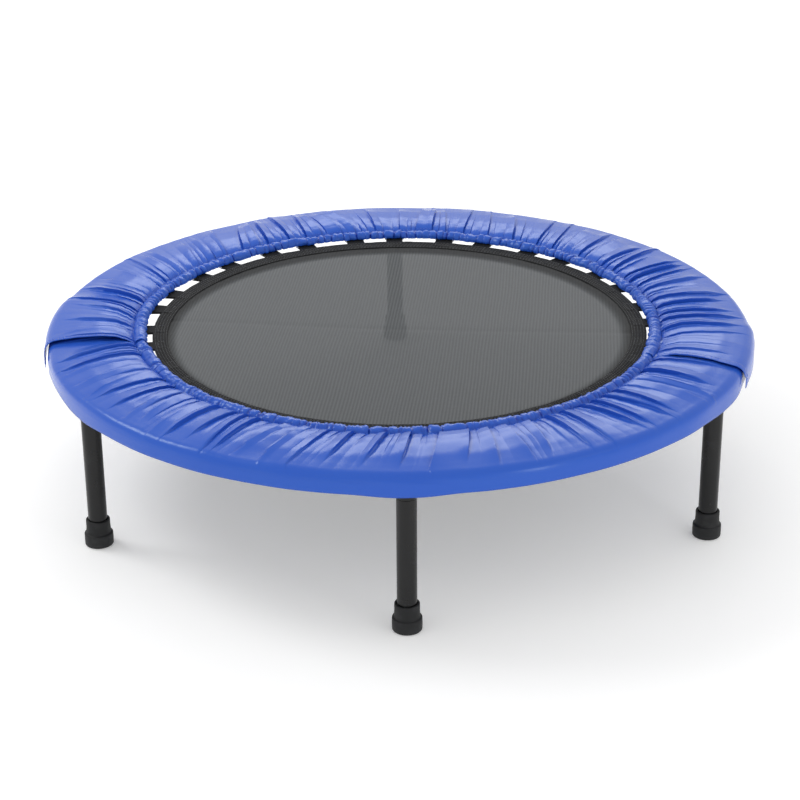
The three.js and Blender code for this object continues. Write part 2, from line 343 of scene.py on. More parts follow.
@dataclass(frozen=True)
class MeshCloth(Finish):
    """Open woven mesh: black threads with holes that let the floor show through."""

    colour: Colour = (0.028, 0.031, 0.033)
    thread: Colour = (0.118, 0.127, 0.134)
    shaded: Colour = (0.008, 0.0085, 0.009)
    warp_pitch: float = 0.0044
    warp_wander: float = 0.011
    thread_relief: float = 0.0006
    cover_least: float = 0.940
    cover_most: float = 0.985
    hem_radius: float = 0.3180
    hem_offset: float = 0.018
    shade_start: float = 0.019
    shade_end: float = 0.001
    shade_depth: float = 0.85

    def paint(self, tree: Tree) -> None:
        """Sets up the shader.

        Args:
            tree: The material's tree.
        """
        wander = tree.noise(7.0, 2.0, tree.scaled(1.0, 0.35, 1.0)) * self.warp_wander
        warp_line = tree.axis("X") + wander
        warp = (warp_line * (math.tau / self.warp_pitch)).sine() * 0.5 + 0.5
        fine = (tree.axis("Y") * (math.tau / (self.warp_pitch * 0.5))).sine() * 0.5 + 0.5
        uneven = tree.noise(160.0, 2.0)
        weave = (warp * 0.42 + fine * 0.20 + uneven * 0.38).clamp()
        shade = self._hem_shade(tree)
        cloth = tree.mix(weave, self.colour, self.thread)
        tree.set(Base_Color=tree.mix(shade, cloth, self.shaded))
        cover = weave * (self.cover_most - self.cover_least) + shade * 0.1 + self.cover_least
        tree.set(Alpha=cover.clamp())
        tree.set(Roughness=(uneven * 0.15 + 0.55).clamp(), Specular_IOR_Level=0.18)
        tree.bump(weave, self.thread_relief, 0.6)

    def _hem_shade(self, tree: Tree) -> Socket:
        """How dark the mesh is where it runs under the hem.

        Args:
            tree: The material's tree.

        Returns:
            The shade.
        """
        inputs = {0: tree.scaled(1, 1, 0), 1: (0.0, self.hem_offset, 0.0)}
        shifted = tree.node("ShaderNodeVectorMath", {"operation": "ADD"}, inputs, "Vector")
        away = tree.node("ShaderNodeVectorMath", {"operation": "LENGTH"}, {0: shifted}, "Value")
        low, high = self.hem_radius - self.shade_start, self.hem_radius - self.shade_end
        return away.between(low, high) * self.shade_depth


@dataclass(frozen=True)
class Webbing(Finish):
    """Flat woven tape with fine ribs."""

    colour: Colour = (0.0045, 0.0047, 0.0052)
    pale: Colour = (0.008, 0.0083, 0.0090)
    rib_pitch: float = 0.0016
    rib_relief: float = 0.00045

    def paint(self, tree: Tree) -> None:
        """Sets up the shader.

        Args:
            tree: The material's tree.
        """
        ribs = (tree.axis("X") * (math.tau / self.rib_pitch)).sine()
        picks = (tree.axis("Y") * (math.tau / self.rib_pitch)).sine()
        weave = (ribs * picks * 0.5 + 0.5).clamp()
        fuzz = tree.noise(900.0, 3.0)
        tree.set(Base_Color=tree.mix((weave * 0.5 + fuzz * 0.5).clamp(), self.colour, self.pale))
        tree.set(Roughness=(fuzz * 0.2 + 0.62).clamp(), Specular_IOR_Level=0.22)
        tree.bump(weave * 0.8 + fuzz * 0.4, self.rib_relief, 0.7)


@dataclass(frozen=True)
class Thread(Finish):
    """Twisted sewing thread."""

    colour: Colour

    def paint(self, tree: Tree) -> None:
        """Sets up the shader.

        Args:
            tree: The material's tree.
        """
        twist = tree.noise(2600.0, 2.0)
        faded = tuple(min(1.0, c * 1.8 + 0.02) for c in self.colour)
        tree.set(Base_Color=tree.mix(twist, self.colour, faded), Roughness=twist * 0.2 + 0.5)
        tree.bump(twist, 0.0002, 0.5)


@dataclass(frozen=True)
class PowderCoat(Finish):
    """Black paint baked on steel, with a slight orange peel and dusty scuffs."""

    colour: Colour = (0.0045, 0.0046, 0.0050)
    scuff: Colour = (0.014, 0.0145, 0.0155)
    roughness: float = 0.25

    def paint(self, tree: Tree) -> None:
        """Sets up the shader.

        Args:
            tree: The material's tree.
        """
        peel = tree.noise(520.0, 2.0)
        dust = tree.noise(38.0, 5.0)
        marks = dust.between(0.56, 0.74)
        tree.set(Base_Color=tree.mix(marks * 0.5, self.colour, self.scuff))
        tree.set(Roughness=(marks * 0.14 + peel * 0.05 + (self.roughness - 0.02)).clamp())
        tree.bump(peel, 0.0003, 0.22)
        tree.set(Specular_IOR_Level=0.35)


@dataclass(frozen=True)
class Zinc(Finish):
    """Bright plated steel with drawn lines and dull patches."""

    colour: Colour = (0.60, 0.61, 0.63)
    dull: Colour = (0.38, 0.38, 0.39)
    roughness: float = 0.26

    def paint(self, tree: Tree) -> None:
        """Sets up the shader.

        Args:
            tree: The material's tree.
        """
        patches = tree.noise(140.0, 4.0)
        lines = tree.noise(900.0, 1.0)
        tree.set(Base_Color=tree.mix(patches.between(0.4, 0.75), self.colour, self.dull))
        tree.set(Roughness=(patches * 0.18 + (self.roughness - 0.06)).clamp(), Metallic=1.0)
        tree.bump(lines, 0.0001, 0.3)


@dataclass(frozen=True)
class Rubber(Finish):
    """Moulded black rubber with a fine matt skin."""

    colour: Colour = (0.010, 0.0105, 0.0115)
    dusty: Colour = (0.030, 0.031, 0.033)

    def paint(self, tree: Tree) -> None:
        """Sets up the shader.

        Args:
            tree: The material's tree.
        """
        skin = tree.noise(1400.0, 3.0)
        dust = tree.noise(60.0, 4.0)
        low = 1.0 - tree.axis("Z").between(0.0, 0.02)
        veil = (dust.between(0.42, 0.75) * 0.5 + low * 0.3).clamp()
        tree.set(Base_Color=tree.mix(veil, self.colour, self.dusty))
        tree.set(Roughness=(skin * 0.16 + dust * 0.12 + 0.42).clamp(), Specular_IOR_Level=0.28)
        tree.bump(skin, 0.0003, 0.4)


@dataclass(frozen=True)
class Foam(Finish):
    """Closed-cell foam, off-white."""

    colour: Colour = (0.74, 0.73, 0.69)
    shade: Colour = (0.55, 0.54, 0.50)
    cell_count: float = 420.0

    def paint(self, tree: Tree) -> None:
        """Sets up the shader.

        Args:
            tree: The material's tree.
        """
        cells = tree.cells(self.cell_count)
        tree.set(Base_Color=tree.mix(cells.between(0.2, 0.9), self.colour, self.shade))
        tree.set(Roughness=(cells * 0.1 + 0.78).clamp(), Subsurface_Weight=0.08)
        tree.bump(cells, 0.0008, 0.6)


@dataclass
class Finishes:
    """Every material of the trampoline, made once."""

    vinyl: bpy.types.Material = field(init=False)
    mesh: bpy.types.Material = field(init=False)
    webbing: bpy.types.Material = field(init=False)
    black_thread: bpy.types.Material = field(init=False)
    blue_thread: bpy.types.Material = field(init=False)
    paint: bpy.types.Material = field(init=False)
    zinc: bpy.types.Material = field(init=False)
    rubber: bpy.types.Material = field(init=False)
    foam: bpy.types.Material = field(init=False)

    def __post_init__(self) -> None:
        """Builds the materials."""
        self.vinyl = Vinyl().material("cover_vinyl")
        self.mesh = MeshCloth().material("mat_mesh")
        self.webbing = Webbing().material("black_webbing")
        self.black_thread = Thread((0.05, 0.052, 0.056)).material("black_thread")
        self.blue_thread = Thread((0.040, 0.095, 0.44)).material("blue_thread")
        self.paint = PowderCoat().material("black_powder_coat")
        self.zinc = Zinc().material("zinc_plate")
        self.rubber = Rubber().material("foot_rubber")
        self.foam = Foam().material("pad_foam")


# ------------------------------------------------------------------------------ mesh tools


def polar(radius: float, angle: float, height: float = 0.0) -> Vector:
    """A point around the Z axis.

    Args:
        radius: Its distance from the axis.
        angle: Its angle from +X in degrees.
        height: Its height.

    Returns:
        The point.
    """
    turn = math.radians(angle)
    return Vector((radius * math.cos(turn), radius * math.sin(turn), height))


def smooth_step(low: float, high: float, value: float) -> float:
    """A smooth step from 0 at low to 1 at high."""
    t = min(1.0, max(0.0, (value - low) / (high - low)))
    return t * t * (3.0 - 2.0 * t)


def along(table: Sequence[tuple[float, float]], value: float) -> float:
    """Reads a table of pairs smoothly between its rows.

    Args:
        table: Pairs in rising order.
        value: Where to read.

    Returns:
        The second number of the pairs there.
    """
    for (a, low), (b, high) in zip(table, table[1:]):
        if value <= b:
            return low + (high - low) * smooth_step(a, b, value)
    return table[-1][1]


def fading(amount: tuple[float, float], away: float) -> float:
    """What is left of an amount, given with its width, at a distance."""
    return amount[0] * math.exp(-away / amount[1])


def arc(middle: tuple[float, float], radii: tuple[float, float],
        angles: tuple[float, float], count: int) -> Section:
    """Points on an elliptic arc.

    Args:
        middle: Its middle.
        radii: Its two half axes.
        angles: Where it starts and ends, in degrees.
        count: How many steps it has.

    Returns:
        The points, both ends included.
    """
    points = []
    for i in range(count + 1):
        turn = math.radians(angles[0] + (angles[1] - angles[0]) * i / count)
        x, y = radii[0] * math.cos(turn), radii[1] * math.sin(turn)
        points.append((middle[0] + x, middle[1] + y))
    return points


def upwards(point: Vector) -> Vector:
    """Straight up, whatever the point."""
    return Vector((0, 0, 1))


def only(kind: type, parts: Iterable) -> list:
    """The parts of a mesh that are of one kind."""
    return [part for part in parts if isinstance(part, kind)]


def close_up(mesh: bmesh.types.BMesh, gap: float = MERGE_GAP) -> None:
    """Merges the vertices closer than a gap, and then turns the faces outwards."""
    bmesh.ops.remove_doubles(mesh, verts=mesh.verts, dist=gap)
    bmesh.ops.recalc_face_normals(mesh, faces=mesh.faces)


def stored(name: str, mesh: bmesh.types.BMesh) -> bpy.types.Mesh:
    """Makes mesh data.

    Args:
        name: Its name.
        mesh: What it holds, which is used up.

    Returns:
        The data.
    """
    data = bpy.data.meshes.new(name)
    mesh.to_mesh(data)
    mesh.free()
    return data


def wire(mesh: bmesh.types.BMesh, points: Iterable[Vector], closed: bool) -> list:
    """Adds a chain of edges.

    Args:
        mesh: The mesh that gets them.
        points: The chain's corners.
        closed: Whether the last corner joins the first.

    Returns:
        The new vertices and edges.
    """
    verts = [mesh.verts.new(point) for point in points]
    pairs = list(zip(verts, verts[1:]))
    if closed:
        pairs.append((verts[-1], verts[0]))
    return verts + [mesh.edges.new(pair) for pair in pairs]


def turned(section: Section, closed: bool, steps: int, start: float = 0.0,
           sweep: float = 360.0) -> bmesh.types.BMesh:
    """Turns a section of (radius, height) points around the Z axis.

    Args:
        section: The points.
        closed: Whether the section closes on itself.
        steps: How many steps the turn has.
        start: Where it starts, in degrees.
        sweep: How far it goes; 360 joins up, and less gets end caps if the section is closed.

    Returns:
        The mesh.
    """
    mesh = bmesh.new()
    chain = wire(mesh, [polar(r, start, z) for r, z in section], closed)
    whole = sweep >= 360.0
    spun = bmesh.ops.spin(
        mesh, geom=chain, cent=(0, 0, 0), axis=(0, 0, 1), angle=math.radians(sweep),
        steps=steps, use_merge=whole, use_duplicate=False)
    if closed and not whole:
        for end in (chain, spun["geom_last"]):
            bmesh.ops.contextual_create(mesh, geom=only(bmesh.types.BMEdge, end))
    close_up(mesh)
    return mesh


def wound(points: Iterable[Vector], closed: bool, middle: Vector, axis: Vector, turns: int,
          steps: int, length: float) -> bmesh.types.BMesh:
    """Winds a section around an axis, as a screw thread or a coil runs.

    Args:
        points: The section's corners.
        closed: Whether the section closes on itself.
        middle: A point of the axis.
        axis: The axis's direction.
        turns: How many turns there are.
        steps: How many steps they have in all.
        length: How far the section moves along the axis.

    Returns:
        The mesh.
    """
    mesh = bmesh.new()
    bmesh.ops.spin(
        mesh, geom=wire(mesh, points, closed), cent=middle, axis=axis, angle=math.tau * turns,
        steps=steps, dvec=axis * (length / steps), use_merge=False, use_duplicate=False)
    close_up(mesh, FINE_GAP)
    return mesh


def piece(name: str, mesh: bmesh.types.BMesh, finish: bpy.types.Material,
          sharp_angle: float = 40.0) -> bpy.types.Object:
    """Makes an object at the origin from a mesh.

    Args:
        name: The object's name.
        mesh: Its mesh, which is used up.
        finish: Its material.
        sharp_angle: Edges sharper than this stay sharp, in degrees.

    Returns:
        The object.
    """
    for face in mesh.faces:
        face.smooth = True
    limit = math.radians(sharp_angle)
    for edge in mesh.edges:
        if len(edge.link_faces) == 2 and edge.calc_face_angle(0.0) > limit:
            edge.smooth = False
    data = stored(name, mesh)
    data.materials.append(finish)
    made = bpy.data.objects.new(name, data)
    bpy.context.scene.collection.objects.link(made)
    return made


def with_wall(made: bpy.types.Object, thickness: float) -> bpy.types.Object:
    """Gives a sheet a wall on its inner side.

    Args:
        made: The sheet.
        thickness: The wall's thickness.

    Returns:
        The same object, as a closed shell.
    """
    wall = made.modifiers.new("wall", "SOLIDIFY")
    wall.thickness = thickness
    wall.offset = -1.0
    bpy.context.view_layer.update()
    graph = bpy.context.evaluated_depsgraph_get()
    made.data = bpy.data.meshes.new_from_object(
        made.evaluated_get(graph), preserve_all_data_layers=True, depsgraph=graph)
    made.modifiers.clear()
    return made


def rod(points: Sequence[Vector], radius: float, closed: bool = False) -> bpy.types.Mesh:
    """A round rod along points.

    Args:
        points: The rod's middle line.
        radius: Its radius.
        closed: Whether it joins up.

    Returns:
        The rod's mesh, at the points' own place.
    """
    curve = bpy.data.curves.new("rod", "CURVE")
    curve.dimensions = "3D"
    curve.bevel_depth = radius
    curve.bevel_resolution = 2
    curve.use_fill_caps = not closed
    line = curve.splines.new("POLY")
    line.points.add(len(points) - 1)
    for spot, point in zip(line.points, points):
        spot.co = (*point, 1.0)
    line.use_cyclic_u = closed
    holder = bpy.data.objects.new("rod", curve)
    mesh = bpy.data.meshes.new_from_object(holder)
    bpy.data.objects.remove(holder)
    bpy.data.curves.remove(curve)
    return mesh


def dress(made: bpy.types.Object, body: str, slot: str, *replaced: str) -> bpy.types.Object:
    """Hangs a piece on the body that it rides on, and hides the CAD nodes that it stands for.

    Args:
        made: The piece.
        body: The body that it rides on.
        slot: The record's material slot; not used.
        replaced: CAD nodes that it stands for.

    Returns:
        The piece.
    """
    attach(made, body)
    if replaced:
        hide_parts(*replaced)
    LOG.info("%s rides on %s, %d faces", made.name, body, len(made.data.polygons))
    return made


def place_copy(mesh: bmesh.types.BMesh, extra: bpy.types.Mesh, where: Matrix) -> None:
    """Adds a placed copy of a mesh.

    Args:
        mesh: The mesh that gets it.
        extra: What is copied.
        where: The copy's place.
    """
    placed = extra.copy()
    placed.transform(where)
    mesh.from_mesh(placed)
    bpy.data.meshes.remove(placed)


@dataclass
class Stitches:
    """Runs of small raised stitches, joined into one piece."""

    length: float = 0.0032
    pitch: float = 0.0044
    width: float = 0.0004
    height: float = 0.0003
    mesh: bmesh.types.BMesh = field(default_factory=bmesh.new)
    stitch: bpy.types.Mesh = field(init=False)

    def __post_init__(self) -> None:
        """Makes the stitch that every run repeats."""
        size = Matrix.Diagonal((self.length / 2, self.width, self.height, 1.0))
        bead = bmesh.new()
        bmesh.ops.create_uvsphere(bead, u_segments=6, v_segments=4, radius=1.0, matrix=size)
        self.stitch = stored("stitch", bead)

    def run(self, points: Sequence[Vector], up: Callable[[Vector], Vector],
            closed: bool = False) -> None:
        """Sews along a line.

        Args:
            points: The line's corners.
            up: The outward direction at a point.
            closed: Whether the line joins up.
        """
        line = list(points) + ([points[0]] if closed else [])
        left = self.pitch / 2
        for a, b in zip(line, line[1:]):
            step = (b - a).length
            while left < step:
                middle = a.lerp(b, left / step)
                self._stitch(middle, (b - a).normalized(), up(middle))
                left += self.pitch
            left -= step

    def _stitch(self, middle: Vector, along: Vector, up: Vector) -> None:
        """Adds one stitch.

        Args:
            middle: Its place.
            along: The seam's direction.
            up: The outward direction.
        """
        across = up.cross(along).normalized()
        out = along.cross(across)
        turn = Matrix((along, across, out)).transposed().to_4x4()
        place_copy(self.mesh, self.stitch, Matrix.Translation(middle) @ turn)

    def finish(self, name: str, finish: bpy.types.Material) -> bpy.types.Object:
        """Makes the piece.

        Args:
            name: Its name.
            finish: Its material.

        Returns:
            The piece.
        """
        return piece(name, self.mesh, finish, sharp_angle=80.0)


# ------------------------------------------------------------------------- sub-assemblies


@dataclass
class Fold:
    """The hinge line that the halves turn about, and widths for bending the soft pieces, which
    nothing uses.
    """

    mat_reach: float = 0.014
    cover_back: float = 0.050
    cover_front: float = 0.022

    @property
    def axis_height(self) -> float:
        """The hinge axis above the floor."""
        joint = next(j for j in frame["joints"] if j["name"] == "fold")
        return joint["pos_m"][2]

    def bend_mat(self, made: bpy.types.Object) -> None:
        """Bakes the placement of a piece of the mat into its mesh."""
        self._bend(made)

    def bend_cover(self, made: bpy.types.Object) -> None:
        """Bakes the placement of a piece of the rear cover into its mesh."""
        self._bend(made)

    def _bend(self, made: bpy.types.Object) -> None:
        """Bakes a piece's placement into its mesh.

        Args:
            made: The piece.
        """
        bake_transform(made)


@dataclass
class FloorStand:
    """Six legs that screw into the ring, each with a rubber foot."""

    finishes: Finishes
    ring_radius: float
    socket_mouth: float
    count: int = 6
    phase: float = 36.0
    tube_radius: float = 0.0125
    tube_end: float = 0.0053
    stud_radius: float = 0.0046
    stud_length: float = 0.0195
    thread_pitch: float = 0.0015
    thread_depth: float = 0.0007
    foot_base: float = 0.0187
    foot_collar: float = 0.0160
    foot_step: float = 0.0175
    foot_height: float = 0.0365
    foot_lip: float = 0.0018
    foot_groove: float = 0.0012
    top_edge: float = 0.0012
    seating_gap: float = 0.0004
    thread_steps: int = 16
    sides: int = 56

    @property
    def angles(self) -> list[float]:
        """Each leg's angle around the ring."""
        return [self.phase + i * 360.0 / self.count for i in range(self.count)]

    def leg_mesh(self) -> bmesh.types.BMesh:
        """Makes the tube with its end plug and threaded stud, at the origin.

        Returns:
            The mesh.
        """
        radius, top = self.tube_radius, self.socket_mouth - self.seating_gap
        stud, tip, edge = self.stud_radius, top + self.stud_length, self.top_edge
        section = [(0.0, self.tube_end), (radius, self.tube_end), (radius, top * 0.5)]
        section += arc((radius - edge, top - edge), (edge, edge), (0, 90), 4)
        section += [(stud + 0.002, top), (stud + 0.0016, top + 0.001), (stud, top + 0.001)]
        section += [(stud, top + self.stud_length - 0.001), (stud - 0.001, tip), (0.0, tip)]
        mesh = turned(section, False, self.sides)
        mesh.from_mesh(stored("thread", self._thread_mesh(top + 0.0015)))
        return mesh

    def _thread_mesh(self, low: float) -> bmesh.types.BMesh:
        """Makes the stud's thread.

        Args:
            low: The height at which it starts.

        Returns:
            The mesh.
        """
        turns = int((self.stud_length - 0.003) / self.thread_pitch)
        root = self.stud_radius - 0.0002
        ridge = [
            Vector((root, 0, low)),
            Vector((root + self.thread_depth, 0, low + self.thread_pitch * 0.35)),
            Vector((root, 0, low + self.thread_pitch * 0.7))]
        return wound(ridge, False, Vector(), Vector((0, 0, 1)), turns, turns * self.thread_steps,
                     self.thread_pitch * turns)

    def foot_mesh(self) -> bmesh.types.BMesh:
        """Makes the rubber cap with its wide base, grooves and tread, at the origin.

        Returns:
            The mesh.
        """
        base, collar, tube = self.foot_base, self.foot_collar, self.tube_radius
        step, top, lip, sole = self.foot_step, self.foot_height, self.foot_lip, self.foot_groove
        section = [(0.0, sole), (0.005, sole), (0.0055, 0.0), (0.009, 0.0), (0.0095, sole)]
        section += [(0.0125, sole), (0.013, 0.0)]
        section += arc((base - lip, lip), (lip, lip), (-90, 0), 5)
        section += [(base + 0.0001, step * 0.5)]
        section += arc((base - lip, step - lip), (lip, lip), (0, 80), 5)
        section += [(collar + 0.0007, step + 0.0002), (collar + 0.0001, step + 0.0009)]
        section += [(collar, step + 0.004), (collar - 0.0003, top * 0.75)]
        section += arc((collar - 0.0018, top - 0.0015), (0.0015, 0.0015), (0, 90), 5)
        section += [(tube + 0.0008, top), (tube + 0.0002, top - 0.0012)]
        section += [(tube - 0.0004, top - 0.006)]
        return turned(section, False, self.sides)

    def build(self) -> None:
        """Makes every leg and foot at its place."""
        for number, angle in enumerate(self.angles, 1):
            where = Matrix.Translation(polar(self.ring_radius, angle))
            where @= Matrix.Rotation(math.radians(angle), 4, "Z")
            for word, mesh, finish in (
                    ("leg", self.leg_mesh(), self.finishes.paint),
                    ("foot", self.foot_mesh(), self.finishes.rubber)):
                bmesh.ops.transform(mesh, matrix=where, verts=mesh.verts)
                made = piece(f"{word}_piece_{number}", mesh, finish)
                dress(made, f"screw_leg_{number}", word, f"{word}_{number}")


@dataclass
class RingFrame:
    """The steel ring in two halves, with leg sockets and hinges."""

    finishes: Finishes
    legs: FloorStand
    radius: float
    height: float
    tube_radius: float = 0.0125
    end_gap: float = 0.010
    steps: int = 120
    sides: int = 28
    socket_radius: float = 0.014
    socket_height: float = 0.0115
    socket_bore: float = 0.0056
    socket_edge: float = 0.001
    socket_sides: int = 40
    bead: float = 0.0016
    bead_ripple: float = 0.22
    bead_ripples: float = 26.0

    def half_mesh(self, half: Half) -> bmesh.types.BMesh:
        """One half of the ring with its three sockets and their welds.

        Args:
            half: Which half.

        Returns:
            The mesh.
        """
        end = math.degrees(math.asin(self.end_gap / self.radius))
        tube = (self.tube_radius, self.tube_radius)
        circle = arc((self.radius, self.height), tube, (0, 360), self.sides)[:-1]
        mesh = turned(circle, True, self.steps, half.start + end, 180.0 - 2 * end)
        for angle in self.legs.angles:
            if half.start < angle < half.start + 180.0:
                self._add_socket(mesh, polar(self.radius, angle))
        return mesh

    def _add_socket(self, mesh: bmesh.types.BMesh, place: Vector) -> None:
        """Adds a socket with a weld bead.

        Args:
            mesh: The half ring.
            place: The socket's axis.
        """
        low = self.legs.socket_mouth
        high = low + self.socket_height
        rim, bore, edge = self.socket_radius, self.socket_bore, self.socket_edge
        section = [(bore, low + 0.008), (bore, low + edge), (bore + edge, low), (rim - edge, low)]
        section += [(rim - edge / 3, low + edge / 3), (rim, low + edge), (rim, high)]
        section += [(rim - edge, high + edge), (rim - 0.004, high + edge)]
        bead = arc((rim - 0.0008, high), (self.bead, self.bead), (0, 360), 8)[:-1]
        for outline, closed in ((section, False), (bead, True)):
            part = turned(outline, closed, self.socket_sides)
            if closed:
                for vert in part.verts:
                    turn = math.atan2(vert.co.y, vert.co.x)
                    wave = 1.0 + self.bead_ripple * math.sin(self.bead_ripples * turn)
                    vert.co.z = high + (vert.co.z - high) * wave
            bmesh.ops.translate(part, vec=place, verts=part.verts)
            mesh.from_mesh(stored("socket", part))

    def build(self) -> None:
        """Makes both halves and paints the hinges."""
        for half in Half:
            made = piece(f"ring_{half.word}", self.half_mesh(half), self.finishes.paint)
            dress(made, half.value, "frame", f"frame_{half.word}")
        for side in ("left", "right"):
            for name, finish in (
                    (f"hinge_fork_{side}", self.finishes.paint),
                    (f"hinge_tongue_{side}", self.finishes.paint),
                    (f"hinge_pin_{side}", self.finishes.zinc)):
                materials = frame["nodes"][name].data.materials
                materials.clear()
                materials.append(finish)


@dataclass
class Suspension:
    """Webbing tabs, wire triangles and coil springs between the mat and the ring."""

    finishes: Finishes
    mat_radius: float
    mat_height: float
    coil_height: float
    pairs: int = 16
    spread: float = 4.95
    tab_width: float = 0.025
    tab_thickness: float = 0.0016
    tab_start: float = 0.016
    tab_reach: float = 0.019
    tab_lift: float = 0.0014
    tab_drop: float = 0.0006
    tab_seam_inset: float = 0.003
    wire_radius: float = 0.0014
    wire_bend: float = 0.0035
    ring_width: float = 0.030
    coil_radius: float = 0.0044
    coil_wire: float = 0.0009
    coil_pitch: float = 0.0023
    coil_start: float = 0.377
    coil_end: float = 0.4395
    coil_steps: int = 12
    coil_sides: int = 6
    hook_eye: float = 0.0036
    hook_reach: float = 0.0072

    @property
    def angles(self) -> list[float]:
        """Each tab's angle around the mat."""
        middles = [(pair + 0.5) * 360.0 / self.pairs for pair in range(self.pairs)]
        return [middle + side * self.spread for middle in middles for side in (-1, 1)]

    def tab_mesh(self) -> bpy.types.Mesh:
        """Makes one tab along +X: tape sewn to the mat that turns back around the wire.

        Returns:
            The tab's mesh.
        """
        rim, level, thick = self.mat_radius, self.mat_height, self.tab_thickness
        start, end = rim - self.tab_start, rim + self.tab_reach
        loop = self.wire_radius + thick / 2
        line = [(start, level + self.tab_lift), (rim - 0.004, level + self.tab_lift)]
        line += arc((end - loop, level - self.tab_drop), (loop, loop), (90, -90), 8)
        line += [(rim + 0.003, level - 0.0016), (rim - 0.003, level - 0.0018)]
        mesh = bmesh.new()
        chain = wire(mesh, [Vector((x, -self.tab_width / 2, z)) for x, z in line], False)
        made = bmesh.ops.extrude_edge_only(mesh, edges=only(bmesh.types.BMEdge, chain))
        moved = only(bmesh.types.BMVert, made["geom"])
        bmesh.ops.translate(mesh, vec=(0, self.tab_width, 0), verts=moved)
        bmesh.ops.recalc_face_normals(mesh, faces=mesh.faces)
        bmesh.ops.solidify(mesh, geom=mesh.faces[:], thickness=thick)
        bmesh.ops.recalc_face_normals(mesh, faces=mesh.faces)
        return stored("tab", mesh)

    def triangle_mesh(self) -> bpy.types.Mesh:
        """Makes the wire triangle in a tab's loop, along +X.

        Returns:
            The triangle's mesh.
        """
        base = self.mat_radius + self.tab_reach - self.wire_radius - self.tab_thickness
        tip = self.coil_start - self.wire_bend
        low = self.mat_height - self.tab_drop
        half_width = self.ring_width / 2
        corners = [
            Vector((base, -half_width, low)), Vector((tip, 0, self.coil_height)),
            Vector((base, half_width, low))]
        rounded = []
        for i, corner in enumerate(corners):
            back = (corners[i - 1] - corner).normalized() * self.wire_bend
            ahead = (corners[(i + 1) % 3] - corner).normalized() * self.wire_bend
            for t in (0.0, 0.25, 0.5, 0.75, 1.0):
                near = (corner + back).lerp(corner, t)
                far = corner.lerp(corner + ahead, t)
                rounded.append(near.lerp(far, t))
        return rod(rounded, self.wire_radius, closed=True)

    def spring_mesh(self) -> bpy.types.Mesh:
        """Makes one coil spring with both hooks, along +X.

        Returns:
            The spring's mesh.
        """
        length = self.coil_end - self.coil_start
        turns = round(length / self.coil_pitch)
        middle = Vector((self.coil_start, 0, self.coil_height + self.coil_radius))
        corners = [math.tau * i / self.coil_sides for i in range(self.coil_sides)]
        ring = [middle + Vector((math.cos(turn), 0, math.sin(turn))) * self.coil_wire
                for turn in corners]
        mesh = wound(ring, True, Vector((0, 0, self.coil_height)), Vector((1, 0, 0)), turns,
                     turns * self.coil_steps, length)
        for hook in (self._hook(self.coil_start, -1), self._hook(self.coil_end, 1)):
            mesh.from_mesh(rod(hook, self.coil_wire))
        return stored("spring", mesh)

    def _hook(self, end: float, way: int) -> list[Vector]:
        """The middle line of a hook.

        Args:
            end: Where the coil ends.
            way: 1 towards the ring, -1 towards the mat.

        Returns:
            The line's points.
        """
        high = self.coil_height + self.coil_radius
        middle = Vector((end + way * self.hook_reach, 0, self.coil_height))
        line = [Vector((end, 0, high)), Vector((end + way * 0.0020, 0, high - 0.0003))]
        for angle in range(120, -151, -27):
            turn = math.radians(angle)
            line.append(middle + Vector((way * math.cos(turn), 0, math.sin(turn))) * self.hook_eye)
        return line

    def build(self) -> None:
        """Makes every tab, triangle and spring."""
        tab, triangle, spring = self.tab_mesh(), self.triangle_mesh(), self.spring_mesh()
        sewn = {half: Stitches() for half in Half}
        for number, angle in enumerate(self.angles, 1):
            half = Half.REAR if angle < 180.0 else Half.FRONT
            turn = Matrix.Rotation(math.radians(angle), 4, "Z")
            self._make(f"tab_{number:02d}", tab, turn, half, "mat", self.finishes.webbing)
            self._make(f"tab_wire_{number:02d}", triangle, turn, half, "spring", self.finishes.zinc)
            self._make(f"coil_{number:02d}", spring, turn, half, "spring", self.finishes.zinc,
                       f"spring_{number:02d}")
            self._sew(sewn[half], turn)
        for half, stitches in sewn.items():
            made = stitches.finish(f"tab_stitches_{half.word}", self.finishes.black_thread)
            dress(made, half.value, "mat")

    def _make(self, name: str, mesh: bpy.types.Mesh, turn: Matrix, half: Half, slot: str,
              finish: bpy.types.Material, *replaced: str) -> None:
        """Places one copy as a piece of its own.

        Args:
            name: The piece's name.
            mesh: What is copied.
            turn: Its turn around the Z axis.
            half: The half that it rides on.
            slot: The record's slot.
            finish: Its material.
            replaced: The CAD nodes that it stands for.
        """
        copy = bmesh.new()
        place_copy(copy, mesh, turn)
        dress(piece(name, copy, finish, sharp_angle=50.0), half.value, slot, *replaced)

    def _sew(self, stitches: Stitches, turn: Matrix) -> None:
        """Sews a tab to the hem with a box of stitches.

        Args:
            stitches: The run that gets them.
            turn: The tab's turn around the Z axis.
        """
        near = self.mat_radius - self.tab_start + 0.002
        far = self.mat_radius - 0.005
        side = self.tab_width / 2 - self.tab_seam_inset
        top = self.mat_height + self.tab_lift + self.tab_thickness / 2
        corners = ((near, -side), (far, -side), (far, side), (near, side))
        stitches.run([turn @ Vector((x, y, top)) for x, y in corners], upwards, closed=True)


